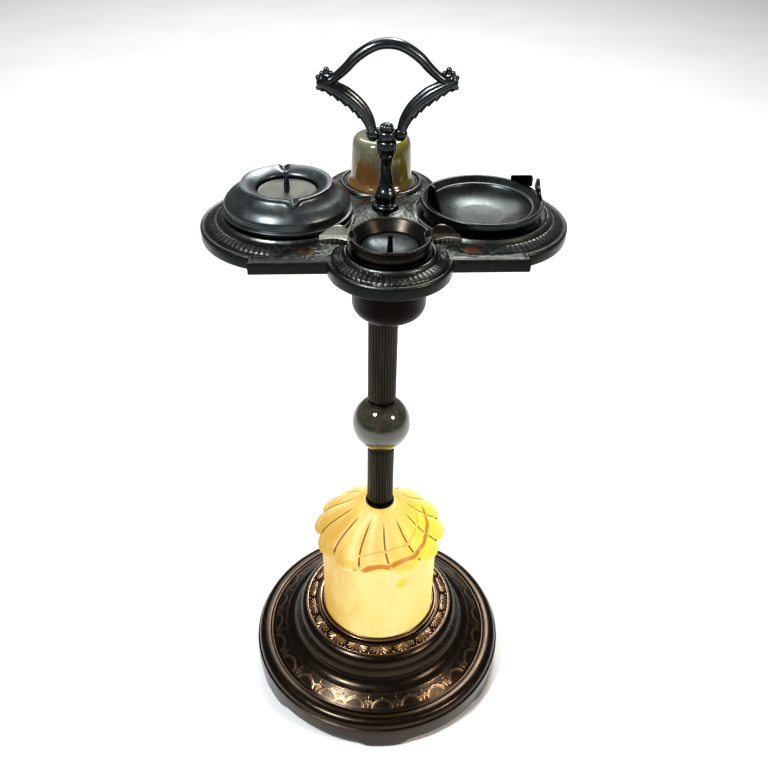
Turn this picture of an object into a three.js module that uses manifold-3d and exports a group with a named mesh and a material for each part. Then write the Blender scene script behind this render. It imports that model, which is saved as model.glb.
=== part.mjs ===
// An Art Deco smoking stand: a cast base with a lit glass shade, a reeded column with a glass ball,
// and a lobed tray that carries two push-down ash units, a bowl, a glass bell and a carrying handle.
// Millimetres, +Z up, origin on the column's axis at the floor. The front of the stand faces -Y.

import * as THREE from 'three';
import Module from 'manifold-3d';
import { mergeVertices } from 'three/addons/utils/BufferGeometryUtils.js';

const wasm = await Module();
wasm.setup();

// ---------------------------------------------------------------- driving dimensions

const GAP = 0.3;                       // clearance that touching pieces keep
const FINE = 48;                       // segments round the base
const WIDE = 32;                       // segments round the bowls
const ROUND = 24;                      // segments round medium turned pieces
const SMALL = 12;                      // segments round rods, nuts and posts

const BASE_R = 148;
const APRON_Z = 9.5;                   // lower edge of the base between its feet
const FOOT_COUNT = 6;
const FOOT_HALF = Math.PI / 24;        // half the angle over which a foot touches the floor
const GLASS_FLOOR_Z = 80;              // floor of the base inside the shade
const LEDGE_Z = 86.5;                  // ledge that the shade stands on

const GLASS_R = 64;
const GLASS_WALL = 4;
const PETAL_COUNT = 12;
const PETAL_R = 73;
const PETAL_TIP_Z = 200;
const PETAL_VALLEY_Z = 205.5;
const PETAL_VALLEY_ANGLE = -81 * Math.PI / 180;
const GLASS_TOP_Z = 245.5;

const PIPE_R = 5;
const COLUMN_R = 13.8;
const COLUMN_BORE_R = 11.6;
const FLUTE_COUNT = 30;
const FLUTE_DEPTH = 0.8;
const COLLAR_R = 15.9;
const COLLAR_TOP_Z = 250.3;
const BALL_R = 29.4;
const BALL_Z = 354.8;
const BALL_FLAT_R = 12.9;              // radius of the flats ground on the ball, above and below
const COLUMN_TOP_Z = 555;
const CAP_TOP_Z = 561.6;

const TRAY_SKIRT_Z = 559.5;
const TRAY_RIM_Z = 570;
const TRAY_WALL = 4;
const TRAY_CENTRE_Z = 581;
const TRAY_HALF_X = 109;
const TRAY_HALF_Y = 75;
const SIDE_X = 79.7;
const FRONT_Y = 68.3;
const SIDE_LOBE = { radius: 72.4, ring: 52, top: 578, segments: 32 };
const END_LOBE = { radius: 49.2, ring: 34, top: 577, segments: 24 };

const HANDLE_TOP_Z = 707.3;            // centre line of the handle's arch
const HANDLE_BAR_R = 3.3;

// ---------------------------------------------------------------- solids and meshes

// The closed triangle mesh of a geometry, as a solid that can be joined and cut.
function solid(geometry) {
  const bare = geometry.clone();
  bare.deleteAttribute('normal');
  bare.deleteAttribute('uv');
  const merged = mergeVertices(bare, 1e-4);
  const triVerts = Uint32Array.from(merged.index.array);
  const vertProperties = Float32Array.from(merged.attributes.position.array);
  const body = new wasm.Manifold(new wasm.Mesh({ numProp: 3, vertProperties, triVerts }));
  if (body.volume() > 0) return body;
  for (let i = 0; i < triVerts.length; i += 3) {
    [triVerts[i + 1], triVerts[i + 2]] = [triVerts[i + 2], triVerts[i + 1]];
  }
  return new wasm.Manifold(new wasm.Mesh({ numProp: 3, vertProperties, triVerts }));
}

function join(first, ...others) {
  return others.reduce((body, other) => body.add(other), first);
}

function cut(first, ...others) {
  return others.reduce((body, other) => body.subtract(other), first);
}

function geometryOf(body) {
  const mesh = body.getMesh();
  const geometry = new THREE.BufferGeometry();
  geometry.setAttribute('position', new THREE.Float32BufferAttribute(mesh.vertProperties, 3));
  geometry.setIndex(Array.from(mesh.triVerts));
  geometry.computeVertexNormals();
  return geometry;
}

function finish(color, roughness, metalness = 1) {
  return { color, roughness, metalness };
}

const FINISHES = {
  bronze: finish(0x2a1d14, 0.35),
  iron: finish(0x202020, 0.8),
  antique: finish(0x3a3f3b, 0.4),
  satin: finish(0x8c959a, 0.3),
  polished: finish(0x5c6463, 0.2),
  chrome: finish(0x6a6e72, 0.15),
  brass: finish(0x9a7a3c, 0.35),
  steel: finish(0x9a9a98, 0.4),
  glow: finish(0xffd98a, 0.3, 0),
  marble: finish(0x3c3a1c, 0.15, 0),
  onyx: finish(0x9c9468, 0.2, 0),
  bulb: finish(0xfff4d8, 0.1, 0),
  porcelain: finish(0xe8e2d2, 0.4, 0),
  rubber: finish(0x1a1a1a, 0.9, 0),
};

function piece(name, body, finishName) {
  const mesh = new THREE.Mesh(geometryOf(body), new THREE.MeshStandardMaterial(FINISHES[finishName]));
  mesh.name = name;
  return mesh;
}

// An outline of straight steps [r, z] and curved steps [control r, control z, r, z].
function outline(start, steps, divisions = 2) {
  const path = new THREE.Path();
  path.moveTo(...start);
  for (const step of steps) {
    if (step.length === 2) path.lineTo(...step);
    else path.quadraticCurveTo(...step);
  }
  return path.getPoints(divisions);
}

// A solid turned about the Z axis from an outline of radius and height.
function turned(points, segments = ROUND) {
  return solid(new THREE.LatheGeometry(points, segments).rotateX(Math.PI / 2));
}

function disc(radius, low, high, segments = ROUND) {
  return turned(outline([0, low], [[radius, low], [radius, high], [0, high]]), segments);
}

function ring(inner, outer, low, high, segments = ROUND) {
  return turned(outline([inner, low], [[outer, low], [outer, high], [inner, high], [inner, low]]), segments);
}

function hexagon(acrossFlats, bore, low, high) {
  const nut = disc(acrossFlats / Math.sqrt(3), low, high, 6);
  return cut(nut, disc(bore, low - 1, high + 1, SMALL));
}

function box(x, y, z, width, depth, height) {
  return solid(new THREE.BoxGeometry(width, depth, height).translate(x, y, z));
}

function ball(radius, x, y, z, across = 8, up = 4) {
  return solid(new THREE.SphereGeometry(radius, across, up).rotateX(Math.PI / 2).translate(x, y, z));
}

// A bar of oval section along a smooth curve through the given points.
function bar(points, halfWidth, halfDepth, steps, curveSegments = 3) {
  const curve = new THREE.CatmullRomCurve3(points.map((p) => new THREE.Vector3(...p)), false, 'centripetal');
  const section = new THREE.Shape();
  section.absellipse(0, 0, halfWidth, halfDepth, 0, Math.PI * 2);
  const options = { steps, extrudePath: curve, curveSegments };
  return solid(new THREE.ExtrudeGeometry(section, options));
}

function spring(radius, wire, low, high, turns) {
  const points = [];
  for (let i = 0; i <= turns * 8; i++) {
    const angle = i * Math.PI / 4;
    const height = low + (high - low) * i / (turns * 8);
    points.push([radius * Math.cos(angle), radius * Math.sin(angle), height]);
  }
  return bar(points, wire, wire, turns * 6, 2);
}

// ---------------------------------------------------------------- base

// 1 over a foot, 0 between feet, with smooth flanks between.
function footAt(angle) {
  const pitch = 2 * Math.PI / FOOT_COUNT;
  const fromFoot = Math.abs(((angle + Math.PI / 2) % pitch + 1.5 * pitch) % pitch - pitch / 2);
  const past = Math.max(0, fromFoot - FOOT_HALF);
  return 1 - THREE.MathUtils.smoothstep(past, 0, FOOT_HALF);
}

function baseCasting() {
  const points = outline([5.6, GLASS_FLOOR_Z], [
    [5.6, GLASS_FLOOR_Z - 5], [80, GLASS_FLOOR_Z - 5], [98, 68, 104, 46],
    [126, 36], [140, 24], [140, APRON_Z], [BASE_R, APRON_Z], [BASE_R, 26],
    [145.5, 41.5, 135, 41.5], [129, 40.2], [112, 50], [97, 54, 94, 72], [93, 82, 85.7, 85],
    [72, LEDGE_Z], [58, LEDGE_Z], [58, GLASS_FLOOR_Z], [5.6, GLASS_FLOOR_Z],
  ]);
  const shell = new THREE.LatheGeometry(points, FINE).rotateX(Math.PI / 2);
  const position = shell.attributes.position;
  for (let i = 0; i < position.count; i++) {
    if (position.getZ(i) > APRON_Z + 0.01) continue;
    const angle = Math.atan2(position.getY(i), position.getX(i));
    position.setZ(i, APRON_Z * (1 - footAt(angle)));
  }
  const cordHole = solid(new THREE.CylinderGeometry(5, 5, 30, SMALL).translate(0, BASE_R - 8, 19));
  return cut(solid(shell), cordHole);
}

function cordBushing() {
  const axis = { y: BASE_R - 8, z: 19 };
  const sleeve = new THREE.CylinderGeometry(4.7, 4.7, 13, SMALL).translate(0, axis.y, axis.z);
  const bore = new THREE.CylinderGeometry(3.2, 3.2, 20, SMALL).translate(0, axis.y, axis.z);
  const lip = new THREE.CylinderGeometry(6.5, 6.5, 2, SMALL).translate(0, axis.y - 6.3, axis.z);
  return cut(join(solid(sleeve), solid(lip)), solid(bore));
}

// The ballast hangs below the casting's floor on long bolts.
const BALLAST_LOW_Z = 24;
const BOLT_R = 2;
const BOLT_PLACES = [30, 150, 270].map((degrees) => {
  const angle = degrees * Math.PI / 180;
  return [75 * Math.cos(angle), 75 * Math.sin(angle), 0];
});

function baseGroup() {
  const group = new THREE.Group();
  const boltHoles = BOLT_PLACES.map((place) => disc(BOLT_R + GAP, 10, 60, 12).translate(place));
  const ballast = cut(ring(12, 96, BALLAST_LOW_Z, 44), ...boltHoles);
  group.add(piece('base_casting', baseCasting(), 'bronze'));
  group.add(piece('cord_bushing', cordBushing(), 'rubber'));
  group.add(piece('base_ballast', ballast, 'iron'));
  group.add(piece('pipe_foot_nut', hexagon(19, PIPE_R + GAP, 62, 70), 'steel'));
  group.add(piece('pipe_foot_washer', ring(PIPE_R + GAP, 16, 70 + GAP, 74.7, SMALL), 'steel'));
  BOLT_PLACES.forEach((place, i) => {
    const head = disc(4, BALLAST_LOW_Z - 4, BALLAST_LOW_Z - GAP, 6);
    const shank = disc(BOLT_R, BALLAST_LOW_Z - 1, GLASS_FLOOR_Z - 5 - GAP, 12);
    group.add(piece(`ballast_bolt_${i + 1}`, join(head, shank).translate(place), 'steel'));
  });
  return group;
}

// ---------------------------------------------------------------- lit shade and lamp

// 1 on the crown of a petal, 0 in the crease between two petals.
function petalAt(angle) {
  return Math.abs(Math.sin(PETAL_COUNT / 2 * (angle - PETAL_VALLEY_ANGLE)));
}

// One ring of the shade's outside, from the drum's foot to the hole under the collar.
function shadeRings(petal) {
  const edge = PETAL_VALLEY_Z - (PETAL_VALLEY_Z - PETAL_TIP_Z) * petal;
  const reach = GLASS_R + 0.6 + (PETAL_R - GLASS_R - 0.6) * petal;
  const dome = [0.9, 0.72, 0.5, 0.3].map((share) => {
    const crown = GLASS_TOP_Z - 0.8 * Math.max(0, reach * share - 22);
    return [reach * share, crown - 6 * (1 - petal) * Math.pow(share, 1.5)];
  });
  return [
    [GLASS_R, LEDGE_Z + GAP], [GLASS_R, edge - 1], [Math.max(reach - 2.5, GLASS_R + 0.1), edge - 0.6],
    [reach, edge + 1.5], [reach - 1.5, edge + 2.5 + 2 * petal], ...dome, [COLLAR_R, GLASS_TOP_Z],
    [PIPE_R + 1, GLASS_TOP_Z], [PIPE_R + 1, GLASS_TOP_Z - GLASS_WALL], [38, 224],
    [GLASS_R - GLASS_WALL, 201], [GLASS_R - GLASS_WALL, LEDGE_Z + GAP],
  ];
}

function glassShade() {
  const columns = PETAL_COUNT * 4;
  const rows = shadeRings(0).length;
  const positions = [];
  const index = [];
  for (let i = 0; i < columns; i++) {
    const angle = PETAL_VALLEY_ANGLE + i * 2 * Math.PI / columns;
    for (const [radius, height] of shadeRings(petalAt(angle))) {
      positions.push(radius * Math.cos(angle), radius * Math.sin(angle), height);
    }
    for (let j = 0; j < rows; j++) {
      const here = i * rows;
      const next = (i + 1) % columns * rows;
      const above = (j + 1) % rows;
      index.push(here + j, next + j, next + above, here + j, next + above, here + above);
    }
  }
  const geometry = new THREE.BufferGeometry();
  geometry.setAttribute('position', new THREE.Float32BufferAttribute(positions, 3));
  geometry.setIndex(index);
  return solid(geometry);
}

function lampBulb(x) {
  const profile = outline([0, 118], [[5.5, 118], [5.5, 124], [17, 134, 17, 150], [17, 163, 0, 172]]);
  return turned(profile, SMALL).translate([x, 0, 0]);
}

function lampGroup() {
  const group = new THREE.Group();
  const lampX = 30;
  const plate = box(lampX / 2 + 3, 0, GLASS_FLOOR_Z + 1.3, lampX + 18, 18, 2);
  const bracket = cut(plate, disc(PIPE_R + GAP, 70, 100, SMALL));
  const socket = turned(outline([0, 83], [[8, 83], [8, 96], [9, 98], [9, 112], [0, 112]]), SMALL);
  group.add(piece('gallery_ring', ring(GLASS_R + GAP, 70.2, LEDGE_Z + GAP, 90.4, FINE), 'bronze'));
  group.add(piece('glass_shade', glassShade(), 'glow'));
  group.add(piece('socket_bracket', bracket, 'steel'));
  group.add(piece('pipe_floor_nut', hexagon(16, PIPE_R + GAP, 83, 88), 'brass'));
  group.add(piece('lamp_socket', socket.translate([lampX, 0, 0]), 'porcelain'));
  group.add(piece('bulb_screw_cap', disc(6, 112 + GAP, 118 - GAP, SMALL).translate([lampX, 0, 0]), 'brass'));
  group.add(piece('lamp_bulb', lampBulb(lampX), 'bulb'));
  return group;
}

// ---------------------------------------------------------------- column

// A tube whose outside is a ring of round-bottomed flutes.
function reededTube(low, high) {
  const pointsPerFlute = 2;
  const count = FLUTE_COUNT * pointsPerFlute;
  const shape = new THREE.Shape();
  for (let i = 0; i < count; i++) {
    const angle = i * 2 * Math.PI / count;
    const radius = COLUMN_R - FLUTE_DEPTH * (0.5 - 0.5 * Math.cos(angle * FLUTE_COUNT));
    if (i === 0) shape.moveTo(radius * Math.cos(angle), radius * Math.sin(angle));
    else shape.lineTo(radius * Math.cos(angle), radius * Math.sin(angle));
  }
  shape.closePath();
  const bore = new THREE.Path();
  bore.absarc(0, 0, COLUMN_BORE_R, 0, 2 * Math.PI);
  shape.holes.push(bore);
  const options = { depth: high - low, bevelEnabled: false, curveSegments: 15 };
  return solid(new THREE.ExtrudeGeometry(shape, options).translate(0, 0, low));
}

function glassBall() {
  const half = Math.sqrt(BALL_R ** 2 - BALL_FLAT_R ** 2);
  const profile = new THREE.Path();
  profile.moveTo(PIPE_R + 1, -half);
  profile.lineTo(BALL_FLAT_R, -half);
  profile.absarc(0, 0, BALL_R, -Math.acos(BALL_FLAT_R / BALL_R), Math.acos(BALL_FLAT_R / BALL_R));
  profile.lineTo(PIPE_R + 1, half);
  profile.lineTo(PIPE_R + 1, -half);
  return turned(profile.getPoints(5)).translate([0, 0, BALL_Z]);
}

function columnGroup() {
  const group = new THREE.Group();
  const ballHalf = Math.sqrt(BALL_R ** 2 - BALL_FLAT_R ** 2);
  const seat = 2;
  const ballLow = BALL_Z - ballHalf - GAP;
  const ballHigh = BALL_Z + ballHalf + GAP;
  const bore = PIPE_R + GAP;
  const pad = ring(bore, 11, GLASS_TOP_Z + GAP, GLASS_TOP_Z + 1.2, SMALL);
  const collar = turned(outline([bore, GLASS_TOP_Z + 1.5], [
    [COLLAR_R - 1, GLASS_TOP_Z + 1.5], [COLLAR_R + 0.2, GLASS_TOP_Z + 3, COLLAR_R - 1, COLLAR_TOP_Z],
    [bore, COLLAR_TOP_Z], [bore, GLASS_TOP_Z + 1.5],
  ]));
  const cap = turned(outline([bore, COLUMN_TOP_Z + GAP], [
    [COLUMN_R + 1, COLUMN_TOP_Z + GAP], [19, COLUMN_TOP_Z + 2, 19, CAP_TOP_Z], [bore, CAP_TOP_Z],
    [bore, COLUMN_TOP_Z + GAP],
  ]));
  group.add(piece('shade_pad', pad, 'rubber'));
  group.add(piece('column_collar', collar, 'bronze'));
  group.add(piece('threaded_pipe', ring(3.6, PIPE_R, 58, 594, SMALL), 'steel'));
  group.add(piece('lower_reeded_tube', reededTube(COLLAR_TOP_Z + GAP, ballLow - seat - GAP), 'bronze'));
  group.add(piece('ball_seat_lower', ring(bore, COLUMN_R + 0.6, ballLow - seat, ballLow), 'bronze'));
  group.add(piece('glass_ball', glassBall(), 'marble'));
  group.add(piece('ball_seat_upper', ring(bore, COLUMN_R + 0.6, ballHigh, ballHigh + seat), 'bronze'));
  group.add(piece('upper_reeded_tube', reededTube(ballHigh + seat + GAP, COLUMN_TOP_Z), 'bronze'));
  group.add(piece('column_cap', cap, 'bronze'));
  return group;
}

// ---------------------------------------------------------------- tray

const LOBES = [
  { x: -SIDE_X, y: 0, ...SIDE_LOBE },
  { x: SIDE_X, y: 0, ...SIDE_LOBE },
  { x: 0, y: -FRONT_Y, ...END_LOBE },
  { x: 0, y: FRONT_Y, ...END_LOBE },
];

// One round lobe: skirt, rolled rim and a slope up to the raised ring. Inset makes the hollow below it.
function lobeBody({ x, y, radius, ring: ringR, top, segments }, inset) {
  const low = inset > 0 ? TRAY_SKIRT_Z - 1 : TRAY_SKIRT_Z;
  const outer = radius - inset;
  const rolledRim = [[outer, TRAY_RIM_Z - 1.5], [outer - 1.5, TRAY_RIM_Z]];
  const points = outline([0, low], [
    [outer, low], ...(inset > 0 ? [] : rolledRim), [outer - 9, TRAY_RIM_Z + 0.8 - inset],
    [ringR + 5 - inset, top - 3 - inset], [ringR + 3 - inset, top - inset], [0, top - inset],
  ]);
  return turned(points, inset > 0 ? segments / 2 : segments).translate([x, y, 0]);
}

function trayBody(inset) {
  const low = inset > 0 ? TRAY_SKIRT_Z - 1 : TRAY_SKIRT_Z;
  const high = TRAY_RIM_Z - inset;
  const slab = box(0, 0, (low + high) / 2, 2 * (TRAY_HALF_X - inset), 2 * (TRAY_HALF_Y - inset), high - low);
  const crown = turned(outline([0, low], [
    [74 - inset, low], [74 - inset, TRAY_RIM_Z - inset], [33 - inset, 577 - inset],
    [15, TRAY_CENTRE_Z - inset], [0, TRAY_CENTRE_Z - inset],
  ]));
  return join(slab, crown, ...LOBES.map((lobe) => lobeBody(lobe, inset)));
}

const LEFT_WELL_R = 46.5;
const FRONT_WELL_R = 30.5;
const RIGHT_WELL_R = 48.5;
const RIGHT_FLOOR_Z = 570.5;
const BELL_SEAT_R = 31;
const BELL_SEAT_Z = 574;

function trayCasting() {
  const hollow = trayBody(TRAY_WALL);
  const boss = disc(14, CAP_TOP_Z + GAP, TRAY_CENTRE_Z - 1, SMALL);
  const bowlSeat = disc(RIGHT_WELL_R + 3, RIGHT_FLOOR_Z - 3, SIDE_LOBE.top - 1).translate([SIDE_X, 0, 0]);
  const bellSeat = disc(BELL_SEAT_R + 2, BELL_SEAT_Z - 3, END_LOBE.top - 1).translate([0, FRONT_Y, 0]);
  const rawCasting = join(cut(trayBody(0), hollow), boss, bowlSeat, bellSeat);
  const through = (radius, x, y, low = 540) => disc(radius, low, 600).translate([x, y, 0]);
  const slot = (x) => disc(7, 540, 600, SMALL).scale([1, 0.5, 1]).translate([x, -60.5, 0]);
  return cut(
    rawCasting,
    through(LEFT_WELL_R, -SIDE_X, 0),
    through(RIGHT_WELL_R, SIDE_X, 0, RIGHT_FLOOR_Z),
    through(FRONT_WELL_R, 0, -FRONT_Y),
    through(BELL_SEAT_R, 0, FRONT_Y, BELL_SEAT_Z),
    disc(PIPE_R + GAP, 540, 600, SMALL),
    slot(-65),
    slot(65),
  );
}

// ---------------------------------------------------------------- handle

function handleStem() {
  const profile = outline([0, 581 + GAP], [
    [11.2, 581 + GAP], [11.2, 584.5], [8.4, 586.5], [10.4, 591, 7.4, 595.5], [5.9, 605],
    [4.9, 616], [5.2, 622], [6.4, 625], [10.2, 632, 6, 636], [0, 636],
  ]);
  const pipeBore = disc(PIPE_R + GAP, 570, 595, SMALL);
  const studBore = disc(2.3, 626, 640, 12);
  return cut(turned(profile, SMALL), pipeBore, studBore);
}

function handleLoop() {
  const mirror = (side) => (points) => points.map(([x, z]) => [side * x, 0, z]);
  const archHalf = [[46, 683.5], [38, 684], [31, 690], [24.3, 697.2], [16, 703], [8, 706.2]];
  const arch = [
    ...mirror(-1)(archHalf), [0, 0, HANDLE_TOP_Z], ...mirror(1)(archHalf.slice().reverse()),
  ];
  const armHalf = [[49, 680], [38, 672.5], [28, 667.3], [19, 659.5], [13.5, 652], [12.5, 642]];
  const arms = [-1, 1].map((side) => bar(mirror(side)(armHalf), 4.2, HANDLE_BAR_R, 8));
  const tips = [-1, 1].map((side) => join(
    ball(4, side * 50, 0, 681.5),
    ball(3, side * 45, 0, 686.5),
    ball(4.2, side * 13.5, 0, 640),
  ));
  const hub = disc(10, 636 + GAP, 643.5, SMALL);
  const loop = join(bar(arch, HANDLE_BAR_R, HANDLE_BAR_R, 22), ...arms, ...tips, hub);
  return cut(loop, disc(2.3, 600, 700, 12), disc(6.5, 643.5, 660, SMALL));
}

function handleGroup() {
  const group = new THREE.Group();
  const finialProfile = outline([0, 628], [
    [2, 628], [2, 643.5 + GAP], [5.6, 643.5 + GAP], [6.2, 647, 2.6, 648.6], [0, 649.6],
  ]);
  group.add(piece('handle_stem', handleStem(), 'chrome'));
  group.add(piece('handle_loop', handleLoop(), 'chrome'));
  group.add(piece('handle_finial', turned(finialProfile, SMALL), 'chrome'));
  return group;
}

// ---------------------------------------------------------------- left ash unit

const LEFT_PLATE_Z = 594.2;
const LEFT_CUP_FLOOR_Z = 548;

// A pan with a flange that rests on a well's edge, and a guide tube for the plunger's rod.
function pan({ radius, floor, corner, flangeR, flangeLow, guideTop }) {
  const wall = 1.2;
  const inner = radius - wall;
  const flangeHigh = flangeLow + wall;
  return turned(outline([2.3, floor], [
    [radius - corner, floor], [radius, floor, radius, floor + corner], [radius, flangeLow],
    [flangeR, flangeLow], [flangeR, flangeHigh], [inner, flangeHigh], [inner, floor + corner],
    [inner, floor + wall, inner - corner, floor + wall], [4.2, floor + wall], [4.2, guideTop],
    [2.3, guideTop], [2.3, floor],
  ]));
}

function leftCover() {
  const shell = turned(outline([46, 580.2], [
    [51.4, 580.2], [53, 581.2], [53, 582.2], [50.3, 582.8], [50.3, 586.4], [51.4, 587.2],
    [48.5, 592, 43, 595.4], [37, 599.4, 36.6, 602], [36, 604.2, 33.6, 603.2], [24.8, 598.2],
    [24.8, 596.9], [33, 600.4], [38, 596.6, 44, 592.6], [49.3, 587], [49.3, 582], [46, 582], [46, 580.2],
  ]), WIDE);
  const lipAngles = [-82, 92].map((degrees) => degrees * Math.PI / 180);
  const notches = lipAngles.map((angle) => solid(
    new THREE.CylinderGeometry(4.6, 4.6, 22, 10).translate(0, 32, 0).rotateZ(angle - Math.PI / 2)
      .translate(0, 0, 605.2),
  ));
  return cut(shell, ...notches);
}

function plunger(rodLow, rodHigh, tipZ) {
  const profile = outline([0, rodLow], [
    [2, rodLow], [2, rodHigh], [2.6, rodHigh + 1], [1.8, tipZ - 3], [2.6, tipZ - 1.4, 0, tipZ],
  ]);
  return turned(profile, 12);
}

function leftUnit() {
  const group = new THREE.Group();
  group.position.x = -SIDE_X;
  const cup = {
    radius: 45.6, floor: LEFT_CUP_FLOOR_Z, corner: 6, flangeR: 49.5,
    flangeLow: SIDE_LOBE.top + GAP, guideTop: 570,
  };
  const plate = ring(2 + GAP, 23.5, LEFT_PLATE_Z, LEFT_PLATE_Z + 1.6);
  const coil = spring(6.5, 0.7, LEFT_CUP_FLOOR_Z + 2.4, LEFT_PLATE_Z - 1.2, 6);
  group.add(piece('left_pan', pan(cup), 'satin'));
  group.add(piece('left_cover', leftCover(), 'satin'));
  group.add(piece('left_drop_plate', plate, 'satin'));
  group.add(piece('left_plunger_post', plunger(565, LEFT_PLATE_Z + 2, 612), 'antique'));
  group.add(piece('left_spring', coil, 'steel'));
  return group;
}

// ---------------------------------------------------------------- front ash unit

const FRONT_PLATE_Z = 577.5;
const FRONT_CUP_FLOOR_Z = 522;
const REST_R = 8.6;                    // outer radius of a cigarette rest's channel

function frontRim() {
  const funnel = turned(outline([29, 579.2], [
    [30.6, 579.2], [30.6, 586.5], [32.2, 588.6, 31, 589.6], [29.6, 589.2], [22.3, 580.5],
    [22.3, 579.2], [28.6, 586], [29, 579.2],
  ]));
  const notch = solid(new THREE.CylinderGeometry(6.6, 6.6, 80, 12).rotateZ(Math.PI / 2).translate(0, 0, 591.5));
  return cut(funnel, notch);
}

// A short channel, half round and open above, that reaches out from the rim and tapers at its end.
function cigaretteRest(side) {
  const low = 32.6;
  const high = 54;
  const length = high - low;
  const along = (radius, extra) => solid(
    new THREE.CylinderGeometry(radius, radius - 1.5, length + extra, 16).rotateZ(Math.PI / 2)
      .translate((low + high) / 2, 0, 590.5),
  );
  const trough = cut(along(REST_R, 0), along(REST_R - 1.6, 1), box(43, 0, 602, 40, 40, 20));
  const channel = side > 0 ? trough : trough.mirror([1, 0, 0]);
  const tab = box(side * 33.6, 0, 583, 2.6, 9, 3);
  return join(channel, tab);
}

function frontUnit() {
  const group = new THREE.Group();
  group.position.y = -FRONT_Y;
  const cup = {
    radius: 29.8, floor: FRONT_CUP_FLOOR_Z, corner: 13, flangeR: 33, flangeLow: END_LOBE.top + GAP, guideTop: 556,
  };
  const dish = turned(outline([2 + GAP, FRONT_PLATE_Z - 3], [
    [14, FRONT_PLATE_Z - 3, 21.9, FRONT_PLATE_Z + 1.2], [21.9, FRONT_PLATE_Z + 2.6],
    [14, FRONT_PLATE_Z - 1.6, 2 + GAP, FRONT_PLATE_Z - 1.6], [2 + GAP, FRONT_PLATE_Z - 3],
  ]));
  const coil = spring(6, 0.7, FRONT_CUP_FLOOR_Z + 3, FRONT_PLATE_Z - 4.2, 6);
  group.add(piece('front_cup', pan(cup), 'antique'));
  group.add(piece('front_rim', frontRim(), 'polished'));
  group.add(piece('front_drop_dish', dish, 'satin'));
  group.add(piece('front_plunger_post', plunger(550, FRONT_PLATE_Z - 1, 589), 'antique'));
  group.add(piece('front_spring', coil, 'steel'));
  group.add(piece('front_rest_left', cigaretteRest(-1), 'satin'));
  group.add(piece('front_rest_right', cigaretteRest(1), 'satin'));
  return group;
}

// ---------------------------------------------------------------- right bowl and glass bell

function rightBowlBody() {
  return turned(outline([0, 571], [
    [22, 571, 36, 575], [46.8, 579.5], [50.8, 581.5], [50.8, 587], [49.8, 588.6, 47.6, 587.4],
    [42.3, 583.6], [34, 576.5, 20, 573.2], [0, 572.8],
  ]), WIDE);
}

// A thin upright leaf, cut from plate, that stands on the bowl's rim as a cigarette stop.
function leafClip(corners, thickness) {
  const shape = new THREE.Shape(corners.map(([across, up]) => new THREE.Vector2(across, up)));
  const options = { depth: thickness, bevelEnabled: false };
  return solid(new THREE.ExtrudeGeometry(shape, options).translate(0, 0, -thickness / 2).rotateX(Math.PI / 2));
}

function rightUnit() {
  const group = new THREE.Group();
  group.position.x = SIDE_X;
  const place = (body, degrees, radius, turn) => body.rotate([0, 0, turn])
    .translate([radius * Math.cos(degrees * Math.PI / 180), radius * Math.sin(degrees * Math.PI / 180), 0]);
  const leaf = leafClip([[-9, 587.6], [0, 585.3], [9, 584.6], [-1.5, 603], [-5, 604], [-8, 602]], 1.6);
  const plate = leafClip([[-11, 588.4], [11, 588.4], [11, 595.6], [8.8, 597.4], [-11, 591.4]], 2);
  const serrated = leafClip([
    [-13, 588.4], [13, 588.4], [9.6, 591.6], [6.4, 592.6], [4, 594.4], [0, 595.4], [-2.4, 597.4],
    [-6, 599], [-8.6, 597.4], [-12, 592],
  ], 2);
  group.add(piece('right_bowl', rightBowlBody(), 'polished'));
  group.add(piece('right_leaf_clip', place(leaf, 200, 43.3, -57), 'antique'));
  group.add(piece('right_plate_clip', place(plate, 39, 49.2, -49), 'antique'));
  group.add(piece('right_serrated_clip', place(serrated, 9, 48.6, -92), 'antique'));
  return group;
}

function glassBell() {
  return turned(outline([23.6, BELL_SEAT_Z + GAP], [
    [30.1, BELL_SEAT_Z + GAP], [30.1, 577], [27.4, 579.4, 26.6, 583], [26.4, 597, 25.6, 607],
    [24.9, 615.4, 19.6, 615.8], [0, 616.2], [0, 612.2], [17.6, 611.8], [21.6, 611.2, 22, 604],
    [23.6, 583], [23.6, BELL_SEAT_Z + GAP],
  ])).translate([0, FRONT_Y, 0]);
}

// ---------------------------------------------------------------- the whole stand

const stand = new THREE.Group();
stand.add(baseGroup(), lampGroup(), columnGroup());
stand.add(piece('tray_casting', trayCasting(), 'antique'));
stand.add(handleGroup(), leftUnit(), frontUnit(), rightUnit());
stand.add(piece('glass_bell', glassBell(), 'onyx'));

export default stand;
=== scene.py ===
"""The looks of an Art Deco smoking stand: cast bronze base with ornament bands, lit slag-glass shade with
petals, reeded column and marbled ball, lobed tray, push-down ash units, bowl, glass bell and handle.
Shapes are worked out in millimetres, in the CAD frame, and turned into metres when a mesh is made."""

import math

import bmesh
import bpy
import numpy as np
from mathutils import Matrix, Vector


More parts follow.
